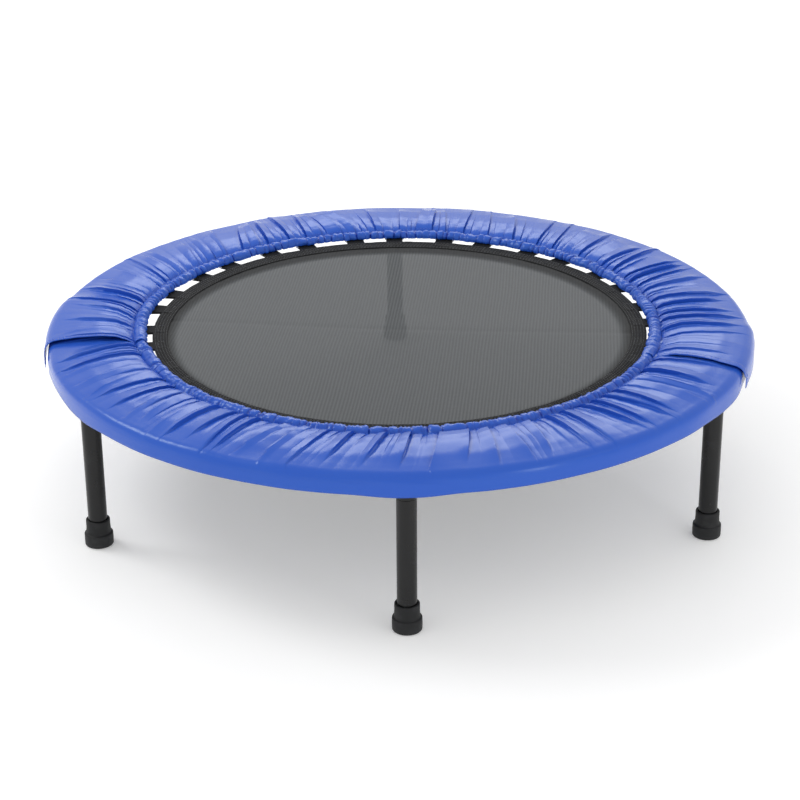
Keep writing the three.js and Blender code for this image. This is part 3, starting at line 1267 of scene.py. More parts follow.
@dataclass
class JumpMat:
    """The woven mat with its webbing hem, one piece across the fold."""

    finishes: Finishes
    fold: Fold
    radius: float
    height: float
    hem_width: float = 0.0205
    hem_offset: float = 0.004
    sag: float = 0.0040
    hem_thickness: float = 0.0026
    hem_steps: int = 320
    overlap: float = 0.008
    cells: int = 150
    sag_start: float = 0.12
    crease_width: float = 0.006
    crease_depth: float = 0.0009
    slack: float = 0.0004
    pucker: float = 0.0006
    stitch_shares: tuple[float, ...] = (0.13, 0.33, 0.53, 0.73, 0.90)

    def build(self) -> None:
        """Makes the mesh, its hem and the rows of stitches."""
        hem = self._hem()
        stitches = self._stitch_rows()
        cloth = self._cloth()
        across = 2 * self._reach
        math.pi * across ** 2 / 4
        for made in (hem, stitches, cloth):
            self.fold.bend_mat(made)
            LOG.info("%s bends at the fold, %d faces", made.name, len(made.data.polygons))
        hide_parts("mat_front", "mat_rear")

    @property
    def _reach(self) -> float:
        """The radius of the open mesh, which runs a little way under the hem."""
        return self.radius - self.hem_width + self.overlap

    def _sag_at(self, away: float) -> float:
        """How far the mat hangs below its rim at a distance from the Z axis."""
        return self.sag * (1.0 - smooth_step(self.sag_start, 1.0, away / self.radius))

    def _cloth(self) -> bpy.types.Object:
        """Makes the open mesh, cut a little wider than the hem's inner edge.

        Returns:
            The piece.
        """
        reach, cells = self._reach, self.cells
        mesh = bmesh.new()
        bmesh.ops.create_grid(mesh, x_segments=cells, y_segments=cells, size=reach + 0.004)
        for vert in mesh.verts:
            flat = Vector((vert.co.x, vert.co.y, 0.0))
            if flat.length > reach:
                flat *= reach / flat.length
            from_fold = (flat.y - self.hem_offset) / self.crease_width
            crease = math.exp(-(from_fold ** 2)) * self.crease_depth
            slack = noise.noise(flat * 9.0) * self.slack
            flat.y -= self.hem_offset
            height = self.height - self._sag_at(flat.length) - crease + slack
            vert.co = Vector((flat.x, flat.y, height))
        bmesh.ops.remove_doubles(mesh, verts=mesh.verts, dist=2e-4)
        flat_faces = [face for face in mesh.faces if face.calc_area() < 1e-9]
        bmesh.ops.delete(mesh, geom=flat_faces, context="FACES_ONLY")
        bmesh.ops.recalc_face_normals(mesh, faces=mesh.faces)
        return piece("mat_cloth", mesh, self.finishes.mesh, sharp_angle=80.0)

    def _hem(self) -> bpy.types.Object:
        """Makes the doubled webbing around the mat's edge.

        Returns:
            The piece.
        """
        half = self.hem_thickness / 2
        inner, outer = self.radius - self.hem_width, self.radius + 0.001
        section = arc((outer - half, self.height), (half, half), (-90, 90), 6)
        top = self.height + half
        section += [(outer - 0.010, top - 0.0003), (outer - 0.0105, top)]
        section += arc((inner + half, self.height), (half, half), (90, 270), 6)
        mesh = turned(section, True, self.hem_steps)
        for vert in mesh.verts:
            pucker = noise.noise(vert.co * 70.0) * self.pucker
            away = Vector((vert.co.x, vert.co.y)).length
            share = min(1.0, max(0.0, (self.radius - away) / self.hem_width))
            vert.co += Vector((0, -self.hem_offset * share, pucker - self._sag_at(away)))
        return piece("mat_hem", mesh, self.finishes.webbing)

    def _stitch_rows(self) -> bpy.types.Object:
        """Sews rows of stitches around the hem.

        Returns:
            The piece.
        """
        stitches = Stitches(length=0.0034, pitch=0.0050, width=0.00045, height=0.0004)
        top = self.height + self.hem_thickness / 2 + 0.0001
        for share in self.stitch_shares:
            away = self.radius - self.hem_width * share
            shift = Vector((0, -self.hem_offset * share, 0))
            level = top - self._sag_at(away)
            ring = [polar(away, angle, level) + shift for angle in range(0, 360, 2)]
            stitches.run(ring, upwards, closed=True)
        return stitches.finish("mat_hem_stitches", self.finishes.black_thread)


@dataclass(frozen=True)
class Row:
    """One line of the cover that runs around the trampoline.

    Attributes:
        radius: Its distance from the Z axis.
        height: Its height.
        lean: Which way is out of the cover: 90 is up and 0 is away from the Z axis, in degrees.
        share: Its place on the top, from 0 at the elastic's seam to 1 at the outer crease.
            The elastic's casing has less than 0 and the skirt more than 1.
    """

    radius: float
    height: float
    lean: float
    share: float

    @property
    def on_casing(self) -> bool:
        """Whether the row lies on the elastic's casing."""
        return self.share < 0.0

    def out(self, angle: float) -> Vector:
        """The outward direction at an angle around the Z axis."""
        rise = math.radians(self.lean)
        return polar(math.cos(rise), angle, math.sin(rise))


@dataclass(frozen=True)
class Pleat:
    """A fold of gathered cloth that runs outwards from the elastic.

    Attributes:
        angle: Where it leaves the elastic, in degrees.
        lean: How far it turns around the Z axis on its way out, in degrees.
        reach: How far out it goes, as a share of the cover's top.
        height: How high its ridge stands.
        side: 1 if the ridge is on the side of greater angles, -1 if not.
        overhang: How far the ridge lies over its own valley.
    """

    angle: float
    lean: float
    reach: float
    height: float
    side: int
    overhang: float


@dataclass(frozen=True)
class PleatShape:
    """The cross-section of a pleat, and the puff of cloth between two of them.

    Attributes:
        fade: The share of the top over which a pleat dies out.
        flattening: How much lower a pleat is at the outer crease.
        edge: Half the width of its steep side at the elastic.
        edge_growth: How much that grows on the way out.
        back: What share of the height its gentle side has, and how wide that side is.
        lip: The same for the lip along its ridge.
        valley: The same for the valley beside it.
        slide_width: How wide a strip slides over the valley.
        painted_shade: How strong the shade painted in the valley beside it is.
        painted_shade_width: How wide that painted shade is.
        full_height: The height from which a pleat's painted shade is at full strength.
        puff_most: The greatest height of the puff.
        puff_slope: The puff's height as a share of its width.
        puff_reach: The share of the top over which the puff dies out.
        sink: How far the cloth lies below its row where nothing lifts it.
    """

    fade: float = 0.34
    flattening: float = 0.35
    edge: float = 0.0005
    edge_growth: float = 0.0006
    back: tuple[float, float] = (0.80, 0.015)
    lip: tuple[float, float] = (0.30, 0.0026)
    valley: tuple[float, float] = (0.22, 0.0018)
    slide_width: float = 0.0030
    # How strong and wide the shade painted beside each pleat is, and the pleat height at which it
    # is full.
    painted_shade: float = 0.45
    painted_shade_width: float = 0.0010
    full_height: float = 0.004
    puff_most: float = 0.0036
    puff_slope: float = 0.15
    puff_reach: float = 0.38
    sink: float = 0.0012


@dataclass
class Gathers:
    """The folds that an elastic makes in one cover, drawn at random from a seed.

    Attributes:
        start: Where the cover starts, in degrees.
        end: Where it ends.
        seed: The seed of every random draw.
        radius: The elastic's radius.
        calm: Gives how strong the folds are at an angle, from 0 to 1.
        leans: How far the long pleats turn on their way out, at some angles, in degrees.
        shape: The pleats' cross-section.
        gaps: The least and greatest distance between long pleats at the elastic.
        usual_gap: The distance that is drawn most.
        flip_chance: How often a long pleat's ridge is on the other side than the last one's.
        lean_most: How much more or less a pleat may turn.
        lean_rate: How much the turn may change over a degree of the elastic.
        heights: The least and greatest height of a long pleat.
        reaches: Three ranges that a long pleat's reach comes from.
        overhangs: The least and greatest overhang of a long pleat.
        wide_gap: The gap in degrees from which two short pleats stand in it, and not one.
        short_chance: How often a short pleat is there.
        short_reaches: The least and greatest reach of a short pleat.
        short_heights: The same for its height.
        short_overhangs: The same for its overhang.
        pleat_creases: The least and greatest depth of a casing crease at a pleat.
        small_creases: The same for a crease between pleats.
        crease_gap: How many degrees of gap each small crease needs.
        crease_width: How wide a crease is.
        crease_window: How many degrees away a crease is still felt.
        crease_most: The most that creases may take away.
        most: How far the folds may rise in all.
        column_width: The mean width of a column of faces at the outer edge.
        crowding: How much the columns crowd at the pleats, from 0 to 1.
        run_on: How many degrees past the cover's end pleats are still drawn.
    """

    start: float
    end: float
    seed: int
    radius: float
    calm: Callable[[float], float]
    leans: tuple[tuple[float, float], ...]
    shape: PleatShape = PleatShape()
    gaps: tuple[float, float] = (0.014, 0.044)
    usual_gap: float = 0.025
    flip_chance: float = 0.34
    lean_most: float = 2.2
    lean_rate: float = 0.55
    heights: tuple[float, float] = (0.0036, 0.0074)
    reaches: tuple[tuple[float, float], ...] = ((0.90, 1.00), (1.0, 1.10), (1.05, 1.2))
    overhangs: tuple[float, float] = (0.0008, 0.0024)
    wide_gap: float = 3.6
    short_chance: float = 0.85
    short_reaches: tuple[float, float] = (0.28, 0.95)
    short_heights: tuple[float, float] = (0.0007, 0.0020)
    short_overhangs: tuple[float, float] = (0.0004, 0.0014)
    pleat_creases: tuple[float, float] = (0.12, 0.46)
    small_creases: tuple[float, float] = (0.02, 0.26)
    crease_gap: float = 0.8
    crease_width: float = 0.0013
    crease_window: float = 2.5
    crease_most: float = 0.5
    most: float = 0.0080
    column_width: float = 0.0019
    crowding: float = 0.78
    run_on: float = 5.0
    pleats: list[Pleat] = field(default_factory=list)
    creases: list[tuple[float, float, float]] = field(default_factory=list)
    columns: list[tuple[float, int]] = field(default_factory=list)

    def __post_init__(self) -> None:
        """Draws the pleats, the casing's creases and the columns of faces."""
        rng = random.Random(self.seed)
        self._draw_long_pleats(rng)
        self._draw_short_pleats(rng)
        self._draw_creases(rng)
        self._draw_columns()

    def _draw_long_pleats(self, rng: random.Random) -> None:
        """Draws the pleats that reach far out.

        Args:
            rng: The source of random numbers.
        """
        angle, side, lean, gap = self.start, 1, 0.0, 1.0
        while angle < self.end + self.run_on:
            side = -side if rng.random() < self.flip_chance else side
            wanted = along(self.leans, angle) + rng.uniform(-self.lean_most, self.lean_most)
            change = self.lean_rate * gap
            lean = max(lean - change, min(lean + change, wanted))
            height = rng.uniform(*self.heights)
            reach = rng.choice([rng.uniform(*ends) for ends in self.reaches])
            overhang = rng.uniform(*self.overhangs)
            self.pleats.append(Pleat(angle, lean, reach, height, side, overhang))
            gap = math.degrees(rng.triangular(*self.gaps, self.usual_gap) / self.radius)
            angle += gap

    def _draw_short_pleats(self, rng: random.Random) -> None:
        """Draws the small pleats that crowd along the elastic between the long ones.

        Args:
            rng: The source of random numbers.
        """
        short = []
        for near, far in zip(self.pleats, self.pleats[1:]):
            gap = far.angle - near.angle
            for t in ((0.5,) if gap < self.wide_gap else (0.34, 0.68)):
                t += rng.uniform(-0.10, 0.10)
                if rng.random() < self.short_chance:
                    lean = near.lean + (far.lean - near.lean) * t
                    reach = rng.uniform(*self.short_reaches)
                    height = rng.uniform(*self.short_heights)
                    side = rng.choice((-1, 1))
                    overhang = rng.uniform(*self.short_overhangs)
                    short.append(Pleat(near.angle + gap * t, lean, reach, height, side, overhang))
        self.pleats = sorted(self.pleats + short, key=lambda pleat: pleat.angle)

    def _draw_creases(self, rng: random.Random) -> None:
        """Draws the creases that pinch the casing, as angle, depth and slant.

        Args:
            rng: The source of random numbers.
        """
        for near, far in zip(self.pleats, self.pleats[1:]):
            gap = far.angle - near.angle
            slant = rng.uniform(-0.6, 0.6)
            self.creases.append((near.angle, rng.uniform(*self.pleat_creases), slant))
            for t in (0.3, 0.6)[:int(gap / self.crease_gap)]:
                where = near.angle + gap * (t + rng.uniform(-0.12, 0.12))
                depth = rng.uniform(*self.small_creases)
                self.creases.append((where, depth, rng.uniform(-0.8, 0.8)))
        self.creases.sort()

    def _draw_columns(self) -> None:
        """Spaces the columns so that they crowd at the pleats."""
        for number, (near, far) in enumerate(zip(self.pleats, self.pleats[1:])):
            width = math.radians(far.angle - near.angle) * 1.3 * self.radius
            count = max(5, round(width / self.column_width))
            for i in range(count):
                t = i / count
                crowded = t - self.crowding * math.sin(math.tau * t) / math.tau
                angle = near.angle + (far.angle - near.angle) * crowded
                if angle <= self.end:
                    self.columns.append((angle, number))
        self.columns.append((self.end, self.columns[-1][1]))

    def number_at(self, angle: float) -> int:
        """The number of the pleat before an angle."""
        return max(n for n, pleat in enumerate(self.pleats[:-1]) if pleat.angle <= angle)

    def lean_at(self, angle: float, number: int) -> float:
        """How far the cloth at an angle turns on its way out, in degrees.

        Args:
            angle: Its angle at the elastic.
            number: The pleat before it.

        Returns:
            The turn, between those of the pleats on both sides.
        """
        near, far = self.pleats[number], self.pleats[number + 1]
        t = (angle - near.angle) / (far.angle - near.angle)
        return near.lean + (far.lean - near.lean) * t

    def fold(self, angle: float, number: int, row: Row) -> tuple[float, float, float]:
        """How the pleats move a point of the top.

        Args:
            angle: The point's angle at the elastic.
            number: The pleat before it.
            row: The row that it lies on.

        Returns:
            How far it rises, how far it slides around the Z axis, and how much shade is painted on
            it.
        """
        shape = self.shape
        rise = slide = painted_shade = 0.0
        for pleat in self.pleats[max(0, number - 4):number + 6]:
            share = 1.0 - smooth_step(pleat.reach - shape.fade, pleat.reach, row.share)
            share *= 1.0 - shape.flattening * min(1.0, row.share)
            if share <= 0.0:
                continue
            away = math.radians(angle - pleat.angle) * row.radius * pleat.side
            width = shape.edge + shape.edge_growth * row.share
            ridge = smooth_step(-width, width, away)
            behind, before = max(0.0, away), -min(0.0, away)
            high = fading(shape.back, behind) + fading(shape.lip, behind)
            low = -fading(shape.valley, before)
            rise += pleat.height * share * (ridge * high + (1.0 - ridge) * low)
            over = math.exp(-((away / shape.slide_width) ** 2))
            slide -= pleat.side * pleat.overhang * share * over * ridge
            # Shade painted into the valley beside the pleat, stronger for higher pleats.
            strength = min(1.0, pleat.height / shape.full_height)
            beside = math.exp(-before / shape.painted_shade_width)
            painted_shade += shape.painted_shade * strength * share * (1.0 - ridge) * beside
        near, far = self.pleats[number], self.pleats[number + 1]
        t = (angle - near.angle) / (far.angle - near.angle)
        width = math.radians(far.angle - near.angle) * row.radius
        puff = min(shape.puff_most, shape.puff_slope * width) * 4.0 * t * (1.0 - t)
        rise += puff * math.exp(-max(0.0, row.share) / shape.puff_reach) - shape.sink
        return self.most * math.tanh(rise / self.most), slide, min(1.0, painted_shade)

    def crease(self, angle: float, lean: float) -> float:
        """How much of the casing's size is lost at a point, from 0 to 1.

        Args:
            angle: The point's angle.
            lean: Which way the casing faces there, in degrees.

        Returns:
            The share that is lost.
        """
        lost = 0.0
        first = bisect_left(self.creases, (angle - self.crease_window,))
        last = bisect_right(self.creases, (angle + self.crease_window,))
        for where, depth, slant in self.creases[first:last]:
            away = abs(math.radians(angle - where - slant * (lean + 180.0) / 150.0)) * self.radius
            lost += fading((depth, self.crease_width), away)
        return min(self.crease_most, lost)


@dataclass(frozen=True)
class Waver:
    """Unevenness of the cover, from a noise.

    Attributes:
        along: How fast it runs along the cover, in cells a metre.
        across: How fast it runs across the cover.
        depth: How much it moves the cloth.
        salt: What sets it apart from others with the same seed.
    """

    along: float
    across: float
    depth: float
    salt: float = 0.0

    def at(self, around: float, across: float, seed: float) -> float:
        """Its value.

        Args:
            around: The distance along the cover.
            across: The place across the cover.
            seed: The cover's seed.

        Returns:
            How much the cloth moves there.
        """
        place = Vector((around * self.along, across * self.across, seed + self.salt))
        return noise.noise(place) * self.depth


@dataclass
class Pad:
    """Gathered vinyl covers over a foam ring, with an elastic rim and overlapping ends."""

    finishes: Finishes
    fold: Fold
    legs: FloorStand
    outer: float
    top: float
    skirt: float
    ring_top: float
    mat_top: float
    casing_radius: float = 0.3550
    casing_drop: float = 0.0092
    casing_radii: tuple[float, float] = (0.0092, 0.0080)
    crown_start: float = 0.3640
    crown: tuple[tuple[float, float], ...] = (
        (0.0, -0.0092), (0.05, -0.0066), (0.12, -0.0040), (0.25, -0.0014), (0.45, 0.0002),
        (0.70, -0.0002), (0.90, -0.0020), (1.0, -0.0034))
    rear_leans: tuple[tuple[float, float], ...] = (
        (-20.0, 0.0), (15.0, 1.5), (40.0, 3.5), (70.0, 4.0), (88.0, 0.5), (100.0, 3.0),
        (115.0, 1.0), (130.0, -5.5), (150.0, -6.5), (175.0, -3.0), (200.0, 0.0))
    front_leans: tuple[tuple[float, float], ...] = (
        (180.0, 1.0), (200.0, 3.0), (232.0, 2.5), (255.0, -2.5), (285.0, -1.5), (310.0, 0.5),
        (360.0, 0.5))
    casing_rows: int = 14
    casing_sweep: tuple[float, float] = (-50.0, -325.0)
    top_rows: int = 20
    top_crowding: float = 1.15
    corner_rows: int = 6
    corner: tuple[float, float] = (0.0125, 0.0105)
    skirt_rows: int = 6
    skirt_inset: float = 0.0006
    drawn: tuple[tuple[float, float], ...] = (
        (0.0, -0.0050), (50.0, -0.0020), (90.0, 0.0), (150.0, 0.0025), (172.0, 0.0040),
        (190.0, 0.0005), (205.0, -0.0035), (235.0, -0.0030), (270.0, 0.0), (320.0, -0.0020),
        (360.0, -0.0050))
    drift: Waver = Waver(11.0, 9.0, 1.0, 5.0)
    grain: Waver = Waver(60.0, 14.0, 0.0004)
    ripple: Waver = Waver(16.0, 16.0, 0.0009, 9.0)
    bulge: Waver = Waver(95.0, 1.0, 0.22)
    wander: Waver = Waver(24.0, 1.0, 0.0026)
    casing_drift: float = 0.0010
    top_drift: float = 0.0012
    skirt_drift: float = 0.0010
    mat_gap: float = 0.0016
    # How strongly the casing's creases are darkened with painted shade.
    casing_painted_shade: float = 2.4
    tied_width: float = 0.030
    tied_loss: float = 0.75
    tucked: float = 0.13
    wall: float = 0.0009
    flap_reach: float = 16.5
    flap_lift: float = 0.0036
    under_end: float = 4.0
    under_drop: float = 0.0014
    hem: float = 0.0105
    hem_height: float = 0.0010
    scallop: float = 0.0032
    seam: float = 88.0
    seam_height: float = 0.0009
    stitch_pitch: float = 0.0046
    casing_seam: float = 0.02
    seam_start: float = 0.06
    hem_seam_inset: float = 0.0035
    foam_inner: float = 0.377
    foam_inset: float = 0.0085
    foam_drop: float = 0.0068
    foam_edge: float = 0.0022
    foam_gap: float = 7.5
    foam_steps: int = 150

    @property
    def casing(self) -> tuple[float, float]:
        """The radius and height of the casing's middle."""
        return self.casing_radius, self.top - self.casing_drop

    def rows(self) -> list[Row]:
        """Lists the cover's rows, from the casing over the top and down the skirt.

        Returns:
            The rows.
        """
        rows = []
        count, (low, high) = self.casing_rows, self.casing_sweep
        round_casing = arc(self.casing, self.casing_radii, self.casing_sweep, count)
        for i, (radius, height) in enumerate(round_casing):
            rows.append(Row(radius, height, low + (high - low) * i / count, -1.0 + i / (count + 2)))
        crown_end = self.outer - self.corner[0]
        for i in range(self.top_rows + 1):
            share = (i / self.top_rows) ** self.top_crowding
            radius = self.crown_start + (crown_end - self.crown_start) * share
            rows.append(Row(radius, self.top + along(self.crown, share), 90.0, share))
        edge, count = self.top + self.crown[-1][1], self.corner_rows
        corner_end = edge - self.corner[1]
        round_corner = arc((crown_end, corner_end), self.corner, (90, 0), count)
        for i, (radius, height) in enumerate(round_corner[1:], 1):
            rows.append(Row(radius, height, 90.0 - 90.0 / count * i, 1.0 + 0.01 * i))
        count = self.skirt_rows
        for i in range(1, count + 1):
            height = corner_end + (self.skirt - corner_end) * i / count
            rows.append(Row(self.outer + self.skirt_inset, height, 0.0, 1.1 + 0.15 * i))
        return rows

    def lift(self, angle: float) -> float:
        """How far the rear cover is lifted where its ends lie over the front cover."""
        return self.flap_lift * smooth_step(-5.0, 1.0, self._past_fold(angle))

    def hem_at(self, angle: float, end: float) -> float:
        """The thickness that a folded hem adds near a cover's end."""
        away = abs(math.radians(angle - end)) * self.outer
        return self.hem_height * (1.0 - smooth_step(self.hem * 0.88, self.hem * 1.06, away))

    def settle(self, angle: float, number: int, row: Row, gathers: Gathers,
               lift: float) -> tuple[Vector, float]:
        """Where a point of the cover comes to lie.

        Args:
            angle: Its angle at the elastic, in degrees.
            number: The pleat before it.
            row: The row that it lies on.
            gathers: The cover's folds.
            lift: How far the cover lies above its usual place.

        Returns:
            The point, and how much shade is painted on the cloth there.
        """
        seed, calm = gathers.seed, gathers.calm(angle)
        share = min(1.0, max(0.0, row.share))
        turned_by = gathers.lean_at(angle, number) * share
        around = math.radians(angle) * self.outer
        drift = self.drift.at(around, row.radius, seed)
        aside = along(self.drawn, angle % 360.0) * (1.0 - smooth_step(0.0, 0.6, share))
        if row.on_casing:
            middle, level = self.casing
            lost = gathers.crease(angle, row.lean) * calm
            bulge = self.bulge.at(around, row.lean / 60.0, seed)
            plump = 1.0 - lost + bulge - (self.tucked if lift < 0.0 else 0.0)
            wander = self.wander.at(around, seed, 0.0)
            radius = middle + wander + aside + (row.radius - middle) * plump
            height = level + drift * self.casing_drift + (row.height - level) * plump
            height = max(height, self.mat_top + self.mat_gap) + max(0.0, lift) * 0.1
            # The casing's creases also get painted shade, stronger where they take in more of the
            # casing's size.
            return polar(radius, angle, height), min(1.0, lost * self.casing_painted_shade)
        rise, slide, painted_shade = gathers.fold(angle, number, row)
        free = 1.0 - smooth_step(1.0, 1.07, row.share)
        tied = self.tied_loss * math.exp(-((row.share / self.tied_width) ** 2))
        rise = rise * calm * free * (1.0 - tied) + drift * self.top_drift * free
        rise += self.grain.at(around, row.radius, seed) * free * calm
        ripple = self.ripple.at(around, row.height, seed)
        rise += (1.0 - free) * (ripple + drift * self.skirt_drift)
        rise += self._seam_ridge(angle)
        turned_by += math.degrees(slide * calm / row.radius)
        where = angle + turned_by * (1.0 - smooth_step(1.0, 1.2, row.share))
        above = lift * smooth_step(0.0, 0.30, row.share)
        place = polar(row.radius + aside, where, row.height) + row.out(where) * (rise + above)
        place.z += self._hang(where, row)
        return place, painted_shade * calm * free

    def _seam_ridge(self, angle: float) -> float:
        """Shapes the lapped seam across the rear cover.

        Args:
            angle: Where around the Z axis, in degrees.

        Returns:
            How far the seam raises the cover.
        """
        away = math.radians(angle - self.seam) * self.outer
        if abs(away) > 0.02:
            return 0.0
        edge = smooth_step(-0.0012, 0.0002, away)
        return self.seam_height * edge * (1.0 - smooth_step(0.004, 0.012, away))

    def _hang(self, angle: float, row: Row) -> float:
        """Shapes the skirt's lower edge, which dips at each leg.

        Args:
            angle: Where around the Z axis, in degrees.
            row: The row that is moved.

        Returns:
            How far the skirt is moved along the Z axis.
        """
        near = min(abs((angle - leg + 180.0) % 360.0 - 180.0) for leg in self.legs.angles)
        low = smooth_step(1.3, 2.0, row.share)
        return -self.scallop * low * (1.0 - smooth_step(1.5, 9.0, near))

    def cover(self, name: str, gathers: Gathers,
              lift: Callable[[float], float]) -> bpy.types.Object:
        """Makes a cover.

        Args:
            name: The piece's name.
            gathers: Its folds.
            lift: Gives its lift at an angle.

        Returns:
            The cover.
        """
        rows = self.rows()
        across, around = len(rows) - 1, len(gathers.columns) - 1
        mesh = bmesh.new()
        # Each point carries how much shade is painted on it.
        painted_shade_layer = mesh.verts.layers.float.new("painted_shade")
        bmesh.ops.create_grid(mesh, x_segments=around, y_segments=across, size=0.5)
        for vert in mesh.verts:
            angle, number = gathers.columns[round((vert.co.x + 0.5) * around)]
            row = rows[round((vert.co.y + 0.5) * across)]
            vert.co, vert[painted_shade_layer] = self.settle(angle, number, row, gathers, lift(angle))
        mesh.normal_update()
        if sum(face.normal.z for face in mesh.faces) < 0.0:
            bmesh.ops.reverse_faces(mesh, faces=mesh.faces[:])
        return with_wall(piece(name, mesh, self.finishes.vinyl, sharp_angle=85.0), self.wall)

    def around(self, gathers: Gathers, lift: Callable[[float], float],
               share: float) -> list[Vector]:
        """Points of a cover along one of its rows.

        Args:
            gathers: The cover's folds.
            lift: Gives the cover's lift at an angle.
            share: The row's share.

        Returns:
            The points, one for every second column.
        """
        row = min(self.rows(), key=lambda candidate: abs(candidate.share - share))
        return [self.settle(angle, number, row, gathers, lift(angle))[0]
                for angle, number in gathers.columns[::2]]

    def across(self, gathers: Gathers, lift: Callable[[float], float],
               angle: float) -> list[Vector]:
        """Points of a cover from its elastic over the top and down the skirt.

        Args:
            gathers: The cover's folds.
            lift: Gives the cover's lift at an angle.
            angle: Where the line leaves the elastic, in degrees.

        Returns:
            The points.
        """
        number = gathers.number_at(angle)
        rows = [row for row in self.rows() if self.seam_start <= row.share < 1.9]
        return [self.settle(angle, number, row, gathers, lift(angle))[0] for row in rows]

    def sew(self, rear: Gathers, front: Gathers) -> None:
        """Sews the casings, the rear cover's seam and its end hems.

        Args:
            rear: The rear cover's folds.
            front: The front cover's folds.
        """
        over, under = Stitches(pitch=self.stitch_pitch), Stitches(pitch=self.stitch_pitch)
        over.run(self.around(rear, self._rear_lift, self.casing_seam), self._outward)
        under.run(self.around(front, self._front_lift, self.casing_seam), self._outward)
        inset = math.degrees(self.hem_seam_inset / self.outer)
        seams = [end + way * inset * row
                 for end, way in ((-self.flap_reach, 1), (180.0 + self.flap_reach, -1))
                 for row in (1, 2.3)]
        for angle in (*seams, self.seam + inset * 0.8):
            over.run(self.across(rear, self._rear_lift, angle), self._outward)
        made = over.finish("pad_stitches_rear", self.finishes.blue_thread)
        self.fold.bend_cover(made)
        made = under.finish("pad_stitches_front", self.finishes.blue_thread)
        dress(made, Half.FRONT.value, "cover")

    def _outward(self, point: Vector) -> Vector:
        """Tells which way is out of the cover.

        Args:
            point: A point of the cover.

        Returns:
            The direction.
        """
        away = Vector((point.x, point.y, 0.0))
        over_edge = smooth_step(self.outer - self.corner[0], self.outer, away.length)
        return (away.normalized() * over_edge + Vector((0, 0, 1.0 - over_edge))).normalized()

    def foam(self, half: Half) -> bpy.types.Object:
        """Makes half of the foam ring.

        Args:
            half: Which half.

        Returns:
            The foam.
        """
        low = self.ring_top + 0.0008
        high = self.top - self.foam_drop
        inner, outer, edge = self.foam_inner, self.outer - self.foam_inset, self.foam_edge
        section = []
        for middle, start in (
                ((inner + edge, low + edge), 270), ((inner + edge, high - edge), 180),
                ((outer - edge, high - edge), 90), ((outer - edge, low + edge), 0)):
            section += arc(middle, (edge, edge), (start, start - 90), 4)
        sweep = 180.0 - 2 * self.foam_gap
        mesh = turned(section, True, self.foam_steps, half.start + self.foam_gap, sweep)
        for vert in mesh.verts:
            if vert.co.z > low + edge:
                vert.co.z += noise.noise(vert.co * 22.0) * 0.0005
        return piece(f"foam_pad_{half.word}", mesh, self.finishes.foam)

    def build(self) -> None:
        """Makes both covers, their stitches and the foam."""
        rear = Gathers(
            start=-self.flap_reach, end=180.0 + self.flap_reach, seed=7, radius=self.crown_start,
            calm=self._rear_calm, leans=self.rear_leans)
        front = Gathers(
            start=180.0 + self.under_end, end=360.0 - self.under_end, seed=23,
            radius=self.crown_start, calm=self._front_calm, leans=self.front_leans)
        over = self.cover("pad_cover_rear", rear, self._rear_lift)
        self.fold.bend_cover(over)
        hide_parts("cover_rear", "flap_right", "flap_left")
        under = self.cover("pad_cover_front", front, self._front_lift)
        dress(under, Half.FRONT.value, "cover", "cover_front")
        self.sew(rear, front)
        for half in Half:
            made = self.foam(half)
            dress(made, half.value, "foam", f"foam_{half.word}")

    def _past_fold(self, angle: float) -> float:
        """How far past the fold line a rear angle is."""
        return max(-angle, angle - 180.0)

    def _inside(self, angle: float) -> float:
        """How far a front angle is from the flaps that lie over the front cover."""
        return min(angle - 180.0, 360.0 - angle) - self.flap_reach

    def _rear_calm(self, angle: float) -> float:
        """How strong the rear cover's folds are at an angle."""
        return 1.0 - 0.45 * smooth_step(-1.0, 6.0, self._past_fold(angle))

    def _front_calm(self, angle: float) -> float:
        """How strong the front cover's folds are at an angle."""
        return 0.30 + 0.70 * smooth_step(-1.5, 3.5, self._inside(angle))

    def _rear_lift(self, angle: float) -> float:
        """The rear cover's lift with its end hems."""
        end = -self.flap_reach if angle < 90.0 else 180.0 + self.flap_reach
        return self.lift(angle) + self.hem_at(angle, end)

    def _front_lift(self, angle: float) -> float:
        """The front cover's lift, which is less than nothing under the flaps."""
        return -self.under_drop * (1.0 - smooth_step(-2.0, 3.0, self._inside(angle)))


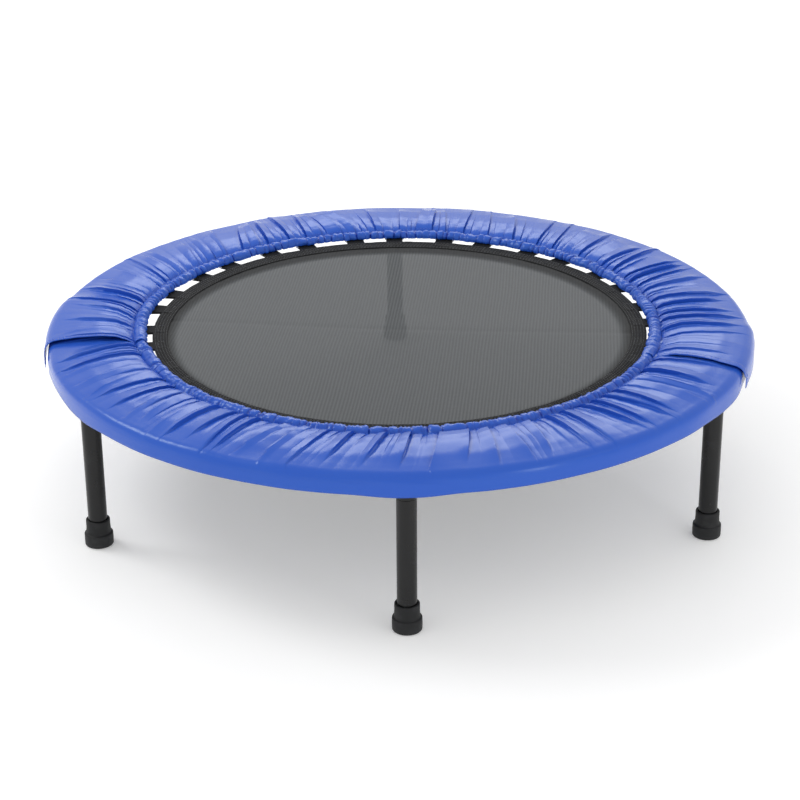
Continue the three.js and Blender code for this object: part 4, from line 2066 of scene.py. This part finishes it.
@dataclass
class Studio:
    """Pale floor, soft lights and the camera."""

    azimuth: float = 5.15
    elevation: float = 24.37
    distance: float = 2.9
    lens: float = 93.1
    roll: float = -0.40
    aim: tuple[float, float, float] = (0.0, 0.0, 0.0959)
    sensor: float = 36.0
    floor_size: float = 80.0
    floor_glow: float = 0.22
    surround: float = 0.82
    lamp_aim: tuple[float, float, float] = (0.0, 0.0, 0.15)
    lamps: tuple[tuple, ...] = (
        ("key", (-1.9, 0.3, 2.0), (0.9, 0.9), 16.5),
        ("fill", (2.2, -1.2, 1.6), (1.2, 1.2), 1.5),
        ("back", (-0.1, 2.7, 1.7), (2.0, 1.0), 15.0),
        ("strip", (1.9, -2.0, 0.60), (0.25, 0.8), 5.0))

    def build(self) -> None:
        """Makes everything around the trampoline."""
        self._make_floor()
        self._make_world()
        for lamp in self.lamps:
            self._make_light(*lamp)
        self._make_camera()
        bpy.context.scene.view_settings.view_transform = "Standard"

    def _make_floor(self) -> None:
        """A pale floor under the feet."""
        mesh = bmesh.new()
        bmesh.ops.create_grid(mesh, x_segments=1, y_segments=1, size=self.floor_size / 2)
        bmesh.ops.translate(mesh, vec=(0, 0, -0.0006), verts=mesh.verts)
        tree = Tree("floor_paint")
        cloudy = tree.noise(3.0, 2.0)
        paint = tree.mix(cloudy, (0.90, 0.90, 0.90), (0.93, 0.93, 0.93))
        tree.set(Base_Color=paint, Roughness=0.7)
        tree.set(Emission_Color=(1.0, 1.0, 1.0), Emission_Strength=self.floor_glow)
        piece("floor", mesh, tree.material)

    def _make_world(self) -> None:
        """A bright even surround."""
        world = bpy.data.worlds.new("surround")
        world.use_nodes = True
        shade = world.node_tree.nodes["Background"]
        shade.inputs["Color"].default_value = (1.0, 1.0, 1.0, 1.0)
        shade.inputs["Strength"].default_value = self.surround
        bpy.context.scene.world = world

    def _make_light(self, name: str, place: tuple[float, float, float], size: tuple[float, float],
                    power: float) -> None:
        """An oblong soft light that faces the trampoline.

        Args:
            name: The light's name.
            place: Where it stands.
            size: Its width and height.
            power: Its power in watts.
        """
        lamp = bpy.data.lights.new(name, "AREA")
        lamp.shape = "RECTANGLE"
        lamp.size, lamp.size_y = size
        lamp.energy = power
        holder = bpy.data.objects.new(name, lamp)
        holder.location = place
        facing = Vector(self.lamp_aim) - Vector(place)
        holder.rotation_euler = facing.to_track_quat("-Z", "Y").to_euler()
        bpy.context.scene.collection.objects.link(holder)

    def _make_camera(self) -> None:
        """The camera, a long way off with a long lens."""
        turn, rise = math.radians(self.azimuth), math.radians(self.elevation)
        flat, high = math.cos(rise), math.sin(rise)
        away = Vector((math.sin(turn) * flat, -math.cos(turn) * flat, high))
        lens = bpy.data.cameras.new("camera")
        lens.lens = self.lens
        lens.sensor_width = self.sensor
        camera = bpy.data.objects.new("camera", lens)
        facing = (-away).to_track_quat("-Z", "Y").to_matrix().to_4x4()
        rolled = facing @ Matrix.Rotation(math.radians(self.roll), 4, "Z")
        camera.matrix_world = Matrix.Translation(Vector(self.aim) + away * self.distance) @ rolled
        bpy.context.scene.collection.objects.link(camera)
        bpy.context.scene.camera = camera


def main() -> None:
    """Builds the trampoline around its frame, and the studio around the trampoline."""
    logging.basicConfig(level=logging.INFO, format="%(message)s")
    ring_low, ring_high = (Vector(corner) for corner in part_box("frame_rear"))
    mat_low, mat_high = (Vector(corner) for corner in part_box("mat_rear"))
    cover_low, cover_high = (Vector(corner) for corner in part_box("cover_rear"))
    finishes = Finishes()
    fold = Fold()
    legs = FloorStand(finishes, ring_high.y - FloorStand.tube_radius, ring_low.z)
    ring = RingFrame(finishes, legs, legs.ring_radius, ring_high.z - RingFrame.tube_radius)
    mat_height = (mat_low.z + mat_high.z) / 2
    spring_low, spring_high = (Vector(corner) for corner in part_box("spring_01"))
    coil_height = (spring_low.z + spring_high.z) / 2
    suspension = Suspension(finishes, MAT_RADIUS, mat_height, coil_height)
    mat = JumpMat(finishes, fold, MAT_RADIUS, mat_height)
    pad = Pad(
        finishes, fold, legs, outer=cover_high.y, top=cover_high.z, skirt=cover_low.z,
        ring_top=ring_high.z, mat_top=mat_high.z)
    for part in (legs, ring, suspension, mat, pad, Studio()):
        part.build()
        LOG.info("%s is built", type(part).__name__)


if __name__ == "__main__":
    main()
